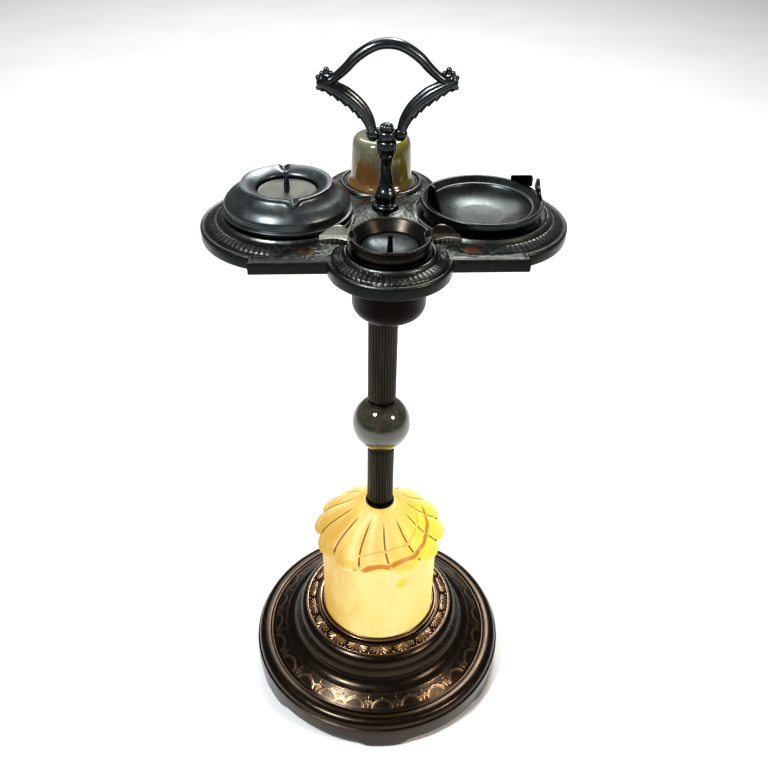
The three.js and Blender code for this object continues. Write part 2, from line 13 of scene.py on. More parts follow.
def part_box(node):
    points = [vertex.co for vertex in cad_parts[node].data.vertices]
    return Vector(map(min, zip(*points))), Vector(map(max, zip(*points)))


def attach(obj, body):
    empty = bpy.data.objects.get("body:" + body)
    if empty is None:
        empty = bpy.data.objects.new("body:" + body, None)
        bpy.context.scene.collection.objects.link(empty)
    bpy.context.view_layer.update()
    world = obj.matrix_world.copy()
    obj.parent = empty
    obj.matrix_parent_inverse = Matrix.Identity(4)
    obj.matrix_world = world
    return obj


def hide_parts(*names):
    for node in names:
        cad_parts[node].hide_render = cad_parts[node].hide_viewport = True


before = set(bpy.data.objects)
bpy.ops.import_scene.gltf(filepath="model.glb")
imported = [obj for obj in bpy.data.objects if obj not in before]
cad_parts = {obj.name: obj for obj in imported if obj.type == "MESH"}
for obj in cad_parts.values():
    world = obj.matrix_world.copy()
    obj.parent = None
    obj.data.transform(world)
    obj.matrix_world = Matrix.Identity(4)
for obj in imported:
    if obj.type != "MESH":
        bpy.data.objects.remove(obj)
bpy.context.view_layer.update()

MM = 0.001
TAU = 2 * math.pi


def middle(node):
    low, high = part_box(node)
    return (low + high) / 2 / MM


def top(node):
    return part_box(node)[1].z / MM


def bottom(node):
    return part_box(node)[0].z / MM


def reach(node):
    """Half the width of a node, in millimetres."""
    low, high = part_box(node)
    return (high.x - low.x) / 2 / MM


def extent(node):
    """The bottom, the top and half the width of a node."""
    return bottom(node), top(node), reach(node)


LEFT_X = middle("left_cover").x
RIGHT_X = middle("right_bowl").x
FRONT_Y = middle("front_cup").y
BACK_Y = middle("glass_bell").y

# ---- meshes


def outline(start, *steps, spacing=1.0):
    """Points along straight steps (r, z) and curved steps (control r, control z, r, z)."""
    here = np.array(start, float)
    points = [here[None]]
    for step in steps:
        end = np.array(step[-2:], float)
        control = np.array(step[:2], float) if len(step) == 4 else (here + end) / 2
        length = np.linalg.norm(control - here) + np.linalg.norm(end - control)
        count = max(3 if len(step) == 4 else 1, math.ceil(length / spacing))
        t = np.linspace(0, 1, count + 1)[1:, None]
        points.append((1 - t) ** 2 * here + 2 * t * (1 - t) * control + t * t * end)
        here = end
    return np.concatenate(points)


def ease(x, low, high):
    """0 below low, 1 above high, smooth between."""
    t = np.clip((x - low) / (high - low), 0, 1)
    return t * t * (3 - 2 * t)


def ridge(x, width):
    """A rounded ridge of height 1 at x = 0."""
    return np.exp(-((x / width) ** 2))


def cusp(x, power):
    """Sharp ridges of height 1 wherever the sine of x is 0."""
    return 1 - np.abs(np.sin(x)) ** power


def around(count):
    """Even angles once round."""
    return np.arange(count) * TAU / count


def spin(r, angle, z):
    """Points from their radius, angle and height."""
    return np.stack(np.broadcast_arrays(r * np.cos(angle), r * np.sin(angle), z), -1)


def faces_between(low, high):
    """Faces between rows of point numbers, each of which closes round on itself."""
    return np.stack([low, np.roll(low, -1, -1), np.roll(high, -1, -1), high], -1).reshape(-1, 4)


def lattice_noise(x, y, size, seed):
    """Smooth noise from -1 to 1 with cells of the given size."""
    values = np.random.default_rng(seed).uniform(-1, 1, (64, 64))
    u, v = x / size, y / size
    i, j = np.floor(u).astype(int), np.floor(v).astype(int)
    fu, fv = u - i, v - j
    fu, fv = fu * fu * (3 - 2 * fu), fv * fv * (3 - 2 * fv)
    a, b = values[i % 64, j % 64], values[(i + 1) % 64, j % 64]
    c, d = values[i % 64, (j + 1) % 64], values[(i + 1) % 64, (j + 1) % 64]
    return (a * (1 - fu) + b * fu) * (1 - fv) + (c * (1 - fu) + d * fu) * fv


class Shell:
    """Vertices in millimetres, faces, and one named value per vertex for the material to read."""

    def __init__(self, points, quads, triangles=None, detail=None):
        self.points = points
        self.quads = quads
        self.triangles = np.zeros((0, 3), int) if triangles is None else triangles
        self.detail = np.zeros(len(points)) if detail is None else detail

    def at(self, x=0, y=0, z=0):
        self.points = self.points + np.array([x, y, z], float)
        return self

    def outward(self):
        """Turns the faces over if they point in."""
        q, t, p = self.quads, self.triangles, self.points
        faces = np.concatenate([q[:, [0, 1, 2]], q[:, [0, 2, 3]], t])
        a, b, c = (p[faces[:, k]] for k in range(3))
        if np.einsum("ij,ij->i", a, np.cross(b, c)).sum() < 0:
            self.quads = q[:, ::-1]
            self.triangles = t[:, ::-1]
        return self


def grid_shell(points, wrap_rows=True, detail=None):
    """A shell from rows of rings. Rows wrap round, or the first and last ring are closed by a fan."""
    rows, columns = points.shape[:2]
    index = np.arange(rows * columns).reshape(rows, columns)
    low = index if wrap_rows else index[:-1]
    high = np.roll(index, -1, 0) if wrap_rows else index[1:]
    quads = faces_between(low, high)
    flat = points.reshape(-1, 3)
    values = np.zeros(len(flat)) if detail is None else np.broadcast_to(detail, (rows, columns)).ravel()
    triangles = []
    if not wrap_rows:
        for ring, flip in ((index[0], True), (index[-1], False)):
            centre = len(flat)
            flat = np.concatenate([flat, flat[ring].mean(0)[None]])
            values = np.append(values, values[ring].mean())
            fan = np.stack([ring, np.roll(ring, -1), np.full(columns, centre)], -1)
            triangles.append(fan[:, ::-1] if flip else fan)
    triangles = np.concatenate(triangles) if triangles else None
    return Shell(flat, quads, triangles, values).outward()


def turn(profile, columns=96, relief=None, closed=True):
    """A shell turned about Z. relief(angle, radius, height) gives a height along the surface's normal."""
    if closed and np.allclose(profile[0], profile[-1]):
        profile = profile[:-1]
    angle = around(columns)
    r = np.repeat(profile[:, :1], columns, 1)
    z = np.repeat(profile[:, 1:], columns, 1)
    height = np.zeros_like(r)
    if relief:
        before, after = (np.roll(profile, k, 0) for k in (1, -1))
        if not closed:
            before[0], after[-1] = profile[0], profile[-1]
        along = after - before
        along /= np.maximum(np.linalg.norm(along, axis=1, keepdims=True), 1e-9)
        height = relief(angle[None], r, z)
        r = r + along[:, 1:] * height
        z = z - along[:, :1] * height
    return grid_shell(spin(r, angle, z), closed, height)


def sweep(path, across, along_y, columns=20, bumps=None):
    """A bar in the XZ plane. across and along_y are its half widths at each point of the path."""
    path = np.array(path, float)
    tangent = np.gradient(path, axis=0)
    tangent /= np.linalg.norm(tangent, axis=1, keepdims=True)
    side = np.stack([-tangent[:, 1], tangent[:, 0]], -1)
    angle = around(columns)
    cos, sin = np.cos(angle), np.sin(angle)
    reach_in = np.broadcast_to(across, len(path))[:, None] * (1 if bumps is None else bumps(cos, sin))
    reach_y = np.broadcast_to(along_y, len(path))[:, None]
    points = np.zeros((len(path), columns, 3))
    points[..., 0] = path[:, :1] + side[:, :1] * reach_in * cos
    points[..., 1] = reach_y * sin
    points[..., 2] = path[:, 1:] + side[:, 1:] * reach_in * cos
    return grid_shell(points, wrap_rows=False)


def smooth_path(points, count):
    """A Catmull-Rom curve through the points."""
    p = np.array(points, float)
    p = np.concatenate([2 * p[:1] - p[1:2], p, 2 * p[-1:] - p[-2:-1]])
    result = []
    for t in np.linspace(0, len(p) - 3 - 1e-9, count):
        i = int(t)
        f = t - i
        a, b, c, d = p[i:i + 4]
        result.append(0.5 * (2 * b + (c - a) * f + (2 * a - 5 * b + 4 * c - d) * f * f + (3 * b - a - 3 * c +
            d) * f ** 3))
    return np.array(result)


def blob(radii, centre, columns=24, rows=14, relief=None):
    """A rounded lump of the given half widths."""
    lift = np.linspace(-math.pi / 2 + 0.05, math.pi / 2 - 0.05, rows)[:, None]
    angle = around(columns)[None]
    swell = 1 if relief is None else 1 + relief(angle, lift)
    points = np.stack([
        radii[0] * np.cos(lift) * np.cos(angle) * swell,
        radii[1] * np.cos(lift) * np.sin(angle) * swell,
        radii[2] * np.sin(lift) * np.ones_like(angle) * swell,
    ], -1)
    return grid_shell(points + np.array(centre, float), wrap_rows=False)


def add_object(name, data):
    thing = bpy.data.objects.new(name, data)
    bpy.context.scene.collection.objects.link(thing)
    return thing


def show(name, shells, material, body, node, sharp=40):
    """Makes one object from shells. It rides on a body and stands for a CAD node."""
    shells = shells if isinstance(shells, list) else [shells]
    offsets = np.cumsum([0] + [len(s.points) for s in shells])
    points = np.concatenate([s.points for s in shells]) * MM
    quads = np.concatenate([s.quads + o for s, o in zip(shells, offsets)])
    triangles = np.concatenate([s.triangles + o for s, o in zip(shells, offsets)])
    loops = np.concatenate([quads.ravel(), triangles.ravel()]).astype(np.int32)
    starts = np.concatenate([np.arange(len(quads)) * 4, len(quads) * 4 + np.arange(len(triangles)) * 3])
    mesh = bpy.data.meshes.new(name)
    mesh.vertices.add(len(points))
    mesh.vertices.foreach_set("co", points.ravel())
    mesh.loops.add(len(loops))
    mesh.loops.foreach_set("vertex_index", loops)
    mesh.polygons.add(len(starts))
    mesh.polygons.foreach_set("loop_start", starts.astype(np.int32))
    mesh.update(calc_edges=True)
    mesh.validate()
    detail = mesh.attributes.new("detail", "FLOAT", "POINT")
    detail.data.foreach_set("value", np.concatenate([s.detail for s in shells]).astype(np.float32))
    mesh.shade_smooth()
    if sharp:
        mesh.set_sharp_from_angle(angle=math.radians(sharp))
    piece = add_object(name, mesh)
    mesh.materials.append(material)
    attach(piece, body)
    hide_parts(node)
    return piece


# ---- materials


GLASS_SCATTER = (0.01, 0.008, 0.004)


class Paint:
    """A node material being put together."""

    def __init__(self, name, **constants):
        self.material = bpy.data.materials.new(name)
        self.material.use_nodes = True
        self.tree = self.material.node_tree
        self.shader = self.tree.nodes["Principled BSDF"]
        for socket, value in constants.items():
            self.set(socket.replace("_", " "), value)

    def set(self, socket, value):
        names = {s.name.lower(): s for s in self.shader.inputs}
        self.feed(names[socket.lower()], value)

    def feed(self, socket, value):
        if isinstance(value, bpy.types.NodeSocket):
            self.tree.links.new(value, socket)
        elif isinstance(value, tuple) and socket.type == "RGBA":
            socket.default_value = (*value[:3], 1)
        else:
            socket.default_value = value

    def node(self, kind, inputs, output=0, **properties):
        node = self.tree.nodes.new(kind)
        for key, value in properties.items():
            setattr(node, key, value)
        for key, value in inputs.items():
            self.feed(node.inputs[key], value)
        return node.outputs[output]

    def place(self, stretch=(1, 1, 1)):
        """Object coordinates in metres, stretched along each axis."""
        object_place = self.node("ShaderNodeTexCoord", {}, "Object")
        return self.node("ShaderNodeMapping", {"Vector": object_place, "Scale": stretch})

    def noise(self, scale, detail=4.0, rough=0.5, distortion=0.0, stretch=(1, 1, 1)):
        inputs = {"Vector": self.place(stretch), "Scale": scale, "Detail": detail,
                  "Roughness": rough, "Distortion": distortion}
        return self.node("ShaderNodeTexNoise", inputs)

    def detail(self):
        return self.node("ShaderNodeAttribute", {}, "Fac", attribute_name="detail")

    def along(self, x, y, z):
        """How far each point lies along a direction; the direction's length sets the scale."""
        inputs = {0: self.place(), 1: (x, y, z)}
        return self.node("ShaderNodeVectorMath", inputs, "Value", operation="DOT_PRODUCT")

    def step(self, value, low, high):
        """0 below low, 1 above high, smooth between. Low may be the larger of the two."""
        inputs = {"Value": value, "From Min": low, "From Max": high}
        return self.node("ShaderNodeMapRange", inputs, interpolation_type="SMOOTHSTEP")

    def ramp(self, factor, *stops):
        """A colour ramp. Each stop is (position, colour or grey)."""
        node = self.tree.nodes.new("ShaderNodeValToRGB")
        elements = node.color_ramp.elements
        while len(elements) < len(stops):
            elements.new(0.5)
        for element, (position, colour) in zip(elements, stops):
            element.position = position
            element.color = (*colour, 1) if isinstance(colour, tuple) else (colour, colour, colour, 1)
        self.feed(node.inputs[0], factor)
        return node.outputs[0]

    def mix(self, factor, first, second, blend="MIX"):
        node = self.tree.nodes.new("ShaderNodeMix")
        node.data_type = "RGBA"
        node.blend_type = blend
        self.feed(node.inputs[0], factor)
        self.feed(node.inputs[6], first)
        self.feed(node.inputs[7], second)
        return node.outputs[2]

    def maths(self, operation, first, second):
        return self.node("ShaderNodeMath", {0: first, 1: second}, operation=operation)

    def bump(self, height, distance, strength=1.0):
        inputs = {"Height": height, "Distance": distance, "Strength": strength}
        self.set("normal", self.node("ShaderNodeBump", inputs))


def ornament_bronze():
    """Black-brown lacquered bronze, rubbed back to copper on whatever stands proud."""
    paint = Paint("ornament_bronze", metallic=1.0)
    cloud = paint.noise(26.0, 6.0, 0.6)
    grit = paint.maths("MULTIPLY", paint.noise(300.0, 5.0, 0.65), 0.1)
    worn = paint.ramp(paint.maths("ADD", paint.detail(), grit), (0.06, 0.0), (0.18, 0.38), (0.38, 0.95))
    lacquer = paint.mix(cloud, (0.016, 0.012, 0.009), (0.046, 0.032, 0.022))
    paint.set("base color", paint.mix(worn, lacquer, (0.36, 0.22, 0.12)))
    paint.set("roughness", paint.ramp(paint.noise(90.0, 8.0, 0.65), (0.3, 0.17), (0.7, 0.3)))
    paint.bump(paint.noise(900.0, 3.0), 0.00006, 0.5)
    return paint.material


def column_bronze():
    """Dark bronze with long upright streaks of lighter and darker metal."""
    paint = Paint("column_bronze", metallic=1.0)
    streaks = paint.noise(160.0, 6.0, 0.6, stretch=(1, 1, 0.06))
    paint.set("base color", paint.ramp(streaks, (0.25, (0.008, 0.007, 0.005)), (0.55, (0.022, 0.018, 0.013)),
        (0.85, (0.06, 0.045, 0.032))))
    paint.set("roughness", paint.ramp(paint.noise(120.0, 8.0, 0.6), (0.3, 0.28), (0.7, 0.44)))
    paint.bump(paint.noise(1400.0, 2.0), 0.00005, 0.5)
    return paint.material


def antique_nickel():
    """Grey-green antique nickel, black in the hollows, lighter on raised parts as rubbed metal and painted
    highlight, darkest on the skirt as painted shade, and copper-brown on the hole walls and underside.
    """
    paint = Paint("antique_nickel", metallic=1.0)
    stipple = paint.node("ShaderNodeTexVoronoi", {"Vector": paint.place(), "Scale": 620.0})
    cloud = paint.noise(40.0, 8.0, 0.65)
    height = paint.maths("ADD", paint.detail(), paint.maths("MULTIPLY", cloud, 0.2))
    # Black in the hollows as patina. Lighter on raised parts, partly as rubbed metal and partly as painted
    # highlight.
    raised = paint.ramp(height, (0.15, (0.01, 0.012, 0.01)), (0.45, (0.028, 0.03, 0.026)),
        (0.95, (0.125, 0.135, 0.12)))
    speckled = paint.mix(paint.ramp(stipple, (0.1, 0.3), (0.5, 0.0)), raised, (0.016, 0.018, 0.016))
    # Copper-brown where the detail is 0 or below: the hole edges, the hole walls and the underside.
    copper_walls = paint.ramp(paint.detail(), (0.0, 1.0), (0.05, 0.0))
    paint.set("base color", paint.mix(copper_walls, speckled, (0.17, 0.09, 0.048)))
    paint.set("roughness", paint.ramp(paint.noise(150.0, 8.0, 0.6), (0.3, 0.24), (0.72, 0.42)))
    paint.bump(paint.mix(0.5, paint.noise(1100.0, 4.0), stipple), 0.00014, 0.6)
    return paint.material


def dark_steel(name, dark, light, rough):
    """Turned steel with a haze of fine scratches and tarnish."""
    paint = Paint(name, metallic=1.0)
    haze = paint.noise(34.0, 8.0, 0.62, 0.4)
    paint.set("base color", paint.ramp(haze, (0.3, dark), (0.68, light)))
    scratches = paint.noise(260.0, 3.0, 0.5, stretch=(1, 0.5, 1))
    paint.set("roughness", paint.ramp(paint.mix(0.6, haze, scratches), (0.3, rough), (0.75, rough + 0.16)))
    paint.bump(scratches, 0.00002, 0.25)
    return paint.material


def lit_and_shaded_nickel():
    """Pale nickel inside the rest as painted highlight, dark on the ribbed outside as painted shade."""
    paint = Paint("lit_and_shaded_nickel", metallic=1.0)
    haze = paint.noise(60.0, 8.0, 0.62, 0.4)
    pale = paint.ramp(haze, (0.3, (0.26, 0.27, 0.23)), (0.68, (0.46, 0.47, 0.42)))
    # Painted highlight and shade: detail 0 (the inside) is pale, and detail 1 (the ribbed outside) is nearly
    # black.
    paint.set("base color", paint.mix(paint.step(paint.detail(), 0.3, 0.7), pale, (0.035, 0.034, 0.028)))
    paint.set("roughness", paint.ramp(haze, (0.3, 0.34), (0.75, 0.5)))
    return paint.material


def lit_slag_glass():
    """Slag glass lit from inside: cream and amber clouds, an agate vein, painted light that turns the right
    side yellow, and painted shade on the left side, along the petal creases and in the drum flutes.
    """
    paint = Paint("lit_slag_glass", roughness=0.42, ior=1.45)
    cloud = paint.noise(15.0, 5.0, 0.55, 1.2, stretch=(1, 1, 0.5))
    drum = paint.ramp(cloud, (0.25, (0.86, 0.55, 0.14)), (0.45, (0.92, 0.72, 0.23)),
        (0.7, (0.95, 0.8, 0.32)))
    petal = paint.ramp(cloud, (0.28, (0.7, 0.4, 0.05)), (0.46, (0.84, 0.57, 0.12)),
        (0.62, (0.92, 0.72, 0.21)))
    is_petal = paint.step(paint.along(0, 0, 1), 0.2, 0.206)
    glass = paint.mix(is_petal, drum, petal)
    # Painted light: the right side of the glass is painted a brighter yellow, most strongly on the petals.
    sideways = paint.maths("ADD", paint.along(1, 0, 0), paint.maths("MULTIPLY", cloud, 0.05))
    lit_side_yellow = paint.maths("MULTIPLY", paint.step(sideways, 0.03, 0.085), paint.maths("ADD", 0.25, is_petal))
    glass = paint.mix(lit_side_yellow, glass, (0.93, 0.76, 0.07))
    ends = {0: paint.place(), 1: (0.022, -0.06, 0.178)}
    spot = paint.node("ShaderNodeVectorMath", ends, "Value", operation="DISTANCE")
    glass = paint.mix(paint.step(spot, 0.01, 0.003), glass, (0.84, 0.62, 0.02))
    # Painted shade: the left side of the glass is painted a darker ochre.
    glass = paint.mix(paint.step(sideways, 0.0, -0.045), glass, (0.62, 0.36, 0.05))
    glass = paint.mix(paint.step(paint.detail(), -0.15, -0.85), glass, (0.6, 0.23, 0.02))
    # Painted shade: dark lines along the petal creases and in the drum's flute grooves.
    glass = paint.mix(paint.step(paint.detail(), 0.2, 0.8), glass, (0.11, 0.045, 0.008))
    paint.set("base color", paint.mix(0.85, glass, (0.0, 0.0, 0.0)))
    paint.set("emission color", glass)
    paint.set("emission strength", 0.97)
    paint.bump(paint.noise(60.0, 3.0), 0.0006, 0.35)
    return paint.material


def onyx_glass():
    """Bell glass: grey-green, with amber streaks low on the left and an olive patch high on the right."""
    paint = Paint("onyx_glass", roughness=0.12, ior=1.5, coat_weight=0.5, coat_roughness=0.05,
                  subsurface_weight=0.05, subsurface_radius=GLASS_SCATTER)
    swirl = paint.noise(48.0, 5.0, 0.55, 1.6, stretch=(1, 1, 0.45))
    body = paint.ramp(swirl, (0.3, (0.075, 0.075, 0.04)), (0.5, (0.135, 0.135, 0.08)),
        (0.72, (0.19, 0.185, 0.12)))
    low = paint.step(paint.along(0, 0, 1), 0.604, 0.582)
    body = paint.mix(low, body, (0.075, 0.062, 0.036))
    wander = paint.maths("MULTIPLY", swirl, 0.06)
    low_left = paint.maths("ADD", paint.along(-0.7, 0, -1.0), wander)
    body = paint.mix(paint.step(low_left, -0.572, -0.552), body, (0.115, 0.05, 0.012))
    high_right = paint.maths("ADD", paint.along(1.0, 0, 0.6), wander)
    body = paint.mix(paint.step(high_right, 0.398, 0.404), body, (0.13, 0.115, 0.008))
    paint.set("base color", body)
    return paint.material


def olive_glass():
    """Opaque swirled glass with one strong vein colour."""
    paint = Paint("olive_glass", roughness=0.08, ior=1.5, coat_weight=1.0, coat_roughness=0.03,
                  subsurface_weight=0.08, subsurface_radius=GLASS_SCATTER)
    swirl = paint.noise(34.0, 5.0, 0.55, 2.4, stretch=(1, 1, 1.7))
    body = paint.ramp(swirl, (0.28, (0.004, 0.004, 0.002)), (0.45, (0.016, 0.016, 0.008)),
        (0.6, (0.034, 0.033, 0.018)), (0.75, (0.01, 0.011, 0.003)))
    line = paint.ramp(paint.noise(20.4, 3.0, 0.5, 3.0), (0.49, 0.0), (0.505, 1.0), (0.525, 0.0))
    paint.set("base color", paint.mix(line, body, (0.07, 0.02, 0.004)))
    return paint.material


def plain(name, dark, light, rough, metallic=0.0, scale=80.0):
    """A hidden or simple part: two close tones, a little uneven gloss and grain."""
    paint = Paint(name, metallic=metallic)
    tone = paint.noise(scale, 6.0, 0.6)
    paint.set("base color", paint.ramp(tone, (0.3, dark), (0.7, light)))
    paint.set("roughness", paint.ramp(tone, (0.3, rough), (0.7, rough + 0.12)))
    paint.bump(paint.noise(scale * 12, 3.0), 0.00008, 0.5)
    return paint.material


def lit_bulb():
    paint = Paint("frosted_bulb", roughness=0.5)
    warm = paint.mix(paint.step(paint.along(0, 0, 1), 0.12, 0.16), (1.0, 0.62, 0.28), (1.0, 0.86, 0.58))
    paint.set("base color", warm)
    paint.set("emission color", warm)
    paint.set("emission strength", 2.0)
    return paint.material


BRONZE = ornament_bronze()
COLUMN = column_bronze()
NICKEL = antique_nickel()
SATIN = dark_steel("satin_steel", (0.055, 0.063, 0.064), (0.115, 0.13, 0.13), 0.28)
PLATE = dark_steel("worn_plate", (0.055, 0.058, 0.047), (0.105, 0.108, 0.09), 0.36)
BRIGHT = dark_steel("bright_steel", (0.035, 0.042, 0.043), (0.11, 0.127, 0.13), 0.22)
POLISHED = dark_steel("polished_dark_steel", (0.024, 0.029, 0.0275), (0.042, 0.049, 0.047), 0.24)
FUNNEL = dark_steel("brown_funnel", (0.016, 0.013, 0.01), (0.036, 0.031, 0.025), 0.22)
CHROME = dark_steel("dark_chrome", (0.022, 0.025, 0.026), (0.085, 0.094, 0.097), 0.17)
BLACKENED = dark_steel("blackened_brass", (0.0025, 0.002, 0.0015), (0.007, 0.005, 0.004), 0.34)
SMOKED = dark_steel("smoked_nickel", (0.03, 0.026, 0.02), (0.075, 0.065, 0.05), 0.3)
CREAM = lit_and_shaded_nickel()
GLOW = lit_slag_glass()
ONYX = onyx_glass()
MARBLE = olive_glass()

# ---- base

BASE_R = reach("base_casting")
HOLLOW_EDGE_Z = 9.5
APRON_LOW_Z = 9.0
FOOT_TOP_Z = 26.0
OUTER_BAND = ((126.0, 42.0), (112.0, 50.0))
INNER_BAND = ((85.0, 84.9), (73.2, 88.0))
ARCHES = 24
FANS = 18
FEET = 6
RELIEF_COLUMNS = 1440


def band_place(angle, r, z, band, count):
    """Where a point is on an ornament band: across one repeat, and in from the band's outer edge."""
    (r0, z0), (r1, z1) = band
    width = math.hypot(r1 - r0, z1 - z0)
    inward = ((r - r0) * (r1 - r0) + (z - z0) * (z1 - z0)) / width
    pitch = TAU / count
    turnings = (angle + math.pi / 2) / pitch
    across = (turnings - np.round(turnings)) * pitch * (r0 + r1) / 2
    between = (turnings - np.floor(turnings) - 0.5) * pitch * (r0 + r1) / 2
    inside = ease(inward, 0, 0.4) * (1 - ease(inward, width - 0.4, width)) * (np.abs(r - (r0 + r1) / 2) < 9)
    return across, between, inward, width, inside


def fan(across, along, petals, spread, length, start=0.8, stretch=1.0):
    """A palmette: round-ended petals that open from a point, the middle ones the longest."""
    across = across / stretch
    distance = np.hypot(across, along)
    step = 2 * spread / petals
    place = np.arctan2(across, along) / step
    nth = np.round(place)
    tip = length * (0.66 + 0.34 * np.cos(nth * step))
    width = 0.44 * np.clip(1 - (distance / tip) ** 6, 0.001, 1)
    petal = np.sqrt(np.clip(1 - ((place - nth) / width) ** 2, 0, 1))
    return petal * ease(distance, start, start + 1.2) * (np.abs(nth) <= petals // 2)


def bead(across, along, radius):
    return np.clip(1 - (across ** 2 + along ** 2) / radius ** 2, 0, 1) ** 0.5


def base_relief(angle, r, z):
    """Arches and palmettes on the outer band, shells and beads on the inner band."""
    across, between, inward, width, inside = band_place(angle, r, z, OUTER_BAND, ARCHES)
    arch = np.hypot(across / 11.0, (inward - 0.6) / 9.6)
    lines = ridge((arch - 1) * 10, 0.75) + 0.6 * ridge((arch - 0.82) * 10, 0.45)
    leaves = fan(between, inward - 0.4, 9, 1.2, 9.6, 2.4) * (arch > 1.05)
    drop = bead(between / (0.35 + 0.16 * np.clip(6 - inward, 0, 5)), (inward - 3.6) / 3.4, 1.0)
    dots = bead(between, inward - 11.8, 0.9) + bead(across, inward - 11.8, 0.8)
    rims = ridge(inward - 0.4, 0.35) + ridge(inward - width + 0.4, 0.35)
    tendril = ridge(inward - 10.6 - 0.9 * np.cos(across / 15.6 * math.pi * 2), 0.3)
    outer = np.maximum.reduce([1.2 * lines, 0.7 * leaves, 1.1 * drop, dots, 0.6 * rims,
        0.4 * tendril]) * inside
    across, between, inward, width, inside = band_place(angle, r, z, INNER_BAND, FANS)
    shell = fan(across, width - 1.9 - inward, 9, 1.45, 9.6, 1.0, 1.8)
    eye = bead(across, width - 1.9 - inward, 1.0)
    dots = bead(between, inward - 2.6, 1.15)
    rims = ridge(inward - 0.4, 0.45)
    inner = np.maximum.reduce([shell, eye, dots, rims]) * inside
    return 0.2 * outer + 0.34 * inner


def foot_at(angle):
    """1 over a foot, 0 between feet."""
    pitch = TAU / FEET
    turnings = (angle + math.pi / 2) / pitch
    off = np.abs(turnings - np.round(turnings)) * pitch
    return 1 - ease(off, math.radians(6.0), math.radians(13.5))


def base_piece():
    """The stepped casting with its two ornament bands, and feet that reach the floor below the apron."""
    profile = outline((5.8, 80), (5.8, 75), (80, 75), (98, 68, 104, 46), (126, 36), (139, 34, 140, 22),
        (140, HOLLOW_EDGE_Z), (140.6, APRON_LOW_Z), (BASE_R - 0.8, APRON_LOW_Z), (BASE_R, 10),
        (BASE_R, FOOT_TOP_Z), (BASE_R - 0.3, 30.6), (145.6, 31.4), (145.9, 33), (145.2, 41.4, 135, 41.6),
        (131.4, 41.6, 130.4, 40.2), (128.2, 40.2), (127.2, 41.4), spacing=1.6)
    outer_band = outline((127.2, 41.4), OUTER_BAND[0], OUTER_BAND[1], (111.4, 50.6), spacing=0.27)
    cove = outline((111.4, 50.6), (110.4, 50.6), (108.6, 51.2), (97.5, 54, 94.8, 70),
        (93.6, 80.5, 88.6, 83.2), (87.4, 83.9), (86.9, 83.5), (86.2, 84.9), (85.4, 85.0), spacing=1.5)
    inner_band = outline((85.4, 85.0), INNER_BAND[0], INNER_BAND[1], (72.4, 88.1), spacing=0.25)
    inside = outline((72.4, 88.1), (71.6, 86.5), (58, 86.5), (58, 80), (5.8, 80), spacing=2.5)
    whole = np.concatenate([profile, outer_band[1:], cove[1:], inner_band[1:], inside[1:]])
    shell = turn(whole, RELIEF_COLUMNS, base_relief)
    angle = np.arctan2(shell.points[:, 1], shell.points[:, 0])
    radius = np.hypot(shell.points[:, 0], shell.points[:, 1])
    z = shell.points[:, 2]
    foot = foot_at(angle) * (radius > 138)
    drop = np.clip((FOOT_TOP_Z - z) / (FOOT_TOP_Z - APRON_LOW_Z), 0, 1) ** 1.5 * APRON_LOW_Z * foot
    shell.points[:, 2] = z - drop * (z < FOOT_TOP_Z)
    show("bronze_base", shell, BRONZE, "stand", "base_casting", sharp=55)


def gallery_piece():
    low, high = bottom("gallery_ring"), top("gallery_ring")
    profile = outline((64.6, low), (69.4, low), (70.2, low + 1, 70.1, high - 1.4),
        (69.8, high - 0.3, 68.9, high - 0.3), (67.6, high - 0.5), (66.8, high - 1.5), (65.9, high - 0.6),
        (65.3, high, 64.8, high - 0.2), (64.6, low), spacing=0.5)
    rubbed = lambda angle, r, z: 0.14 * ease(z, high - 1.2, high - 0.4)
    show("shade_gallery", turn(profile, 288, rubbed), BRONZE, "stand", "gallery_ring")


# ---- lit shade

PETALS = 12
VALLEY_ANGLE = math.radians(-81)
SHADE_TOP = top("glass_shade")
SHADE_LOW = bottom("glass_shade")
DRUM_R = 64.0
PETAL_R = reach("glass_shade")
VALLEY_R = 65.2
VALLEY_Z = 205.5
TIP_Z = 200.0
COLLAR_R = 14.5
CONE_SLOPE = 0.79
GLASS_WALL = 4.0
RIM_RISE = 3.2
LIP_R = 1.8
DRUM_FLUTES = 28
FLUTE_DEPTH = 0.6


def agate_vein(degrees, share):
    """A broad brown band that climbs from the rim across the front petals, with a thin line above it."""
    wobble = lattice_noise(degrees + 400, 60 * share + 40, 9.0, 11)
    middle_line = 0.83 + 0.1 * ease(-degrees, 80, 118) - 0.22 * ease(degrees, -70, 12) + 0.012 * wobble
    front = ease(degrees, -122, -112) * (1 - ease(degrees, 4, 26))
    band = 1 - ease(np.abs(share - middle_line), 0.012, 0.05)
    thin = 1 - ease(np.abs(share - middle_line + 0.2 + 0.03 * wobble), 0.006, 0.018)
    return np.maximum(band, 0.6 * thin) * front


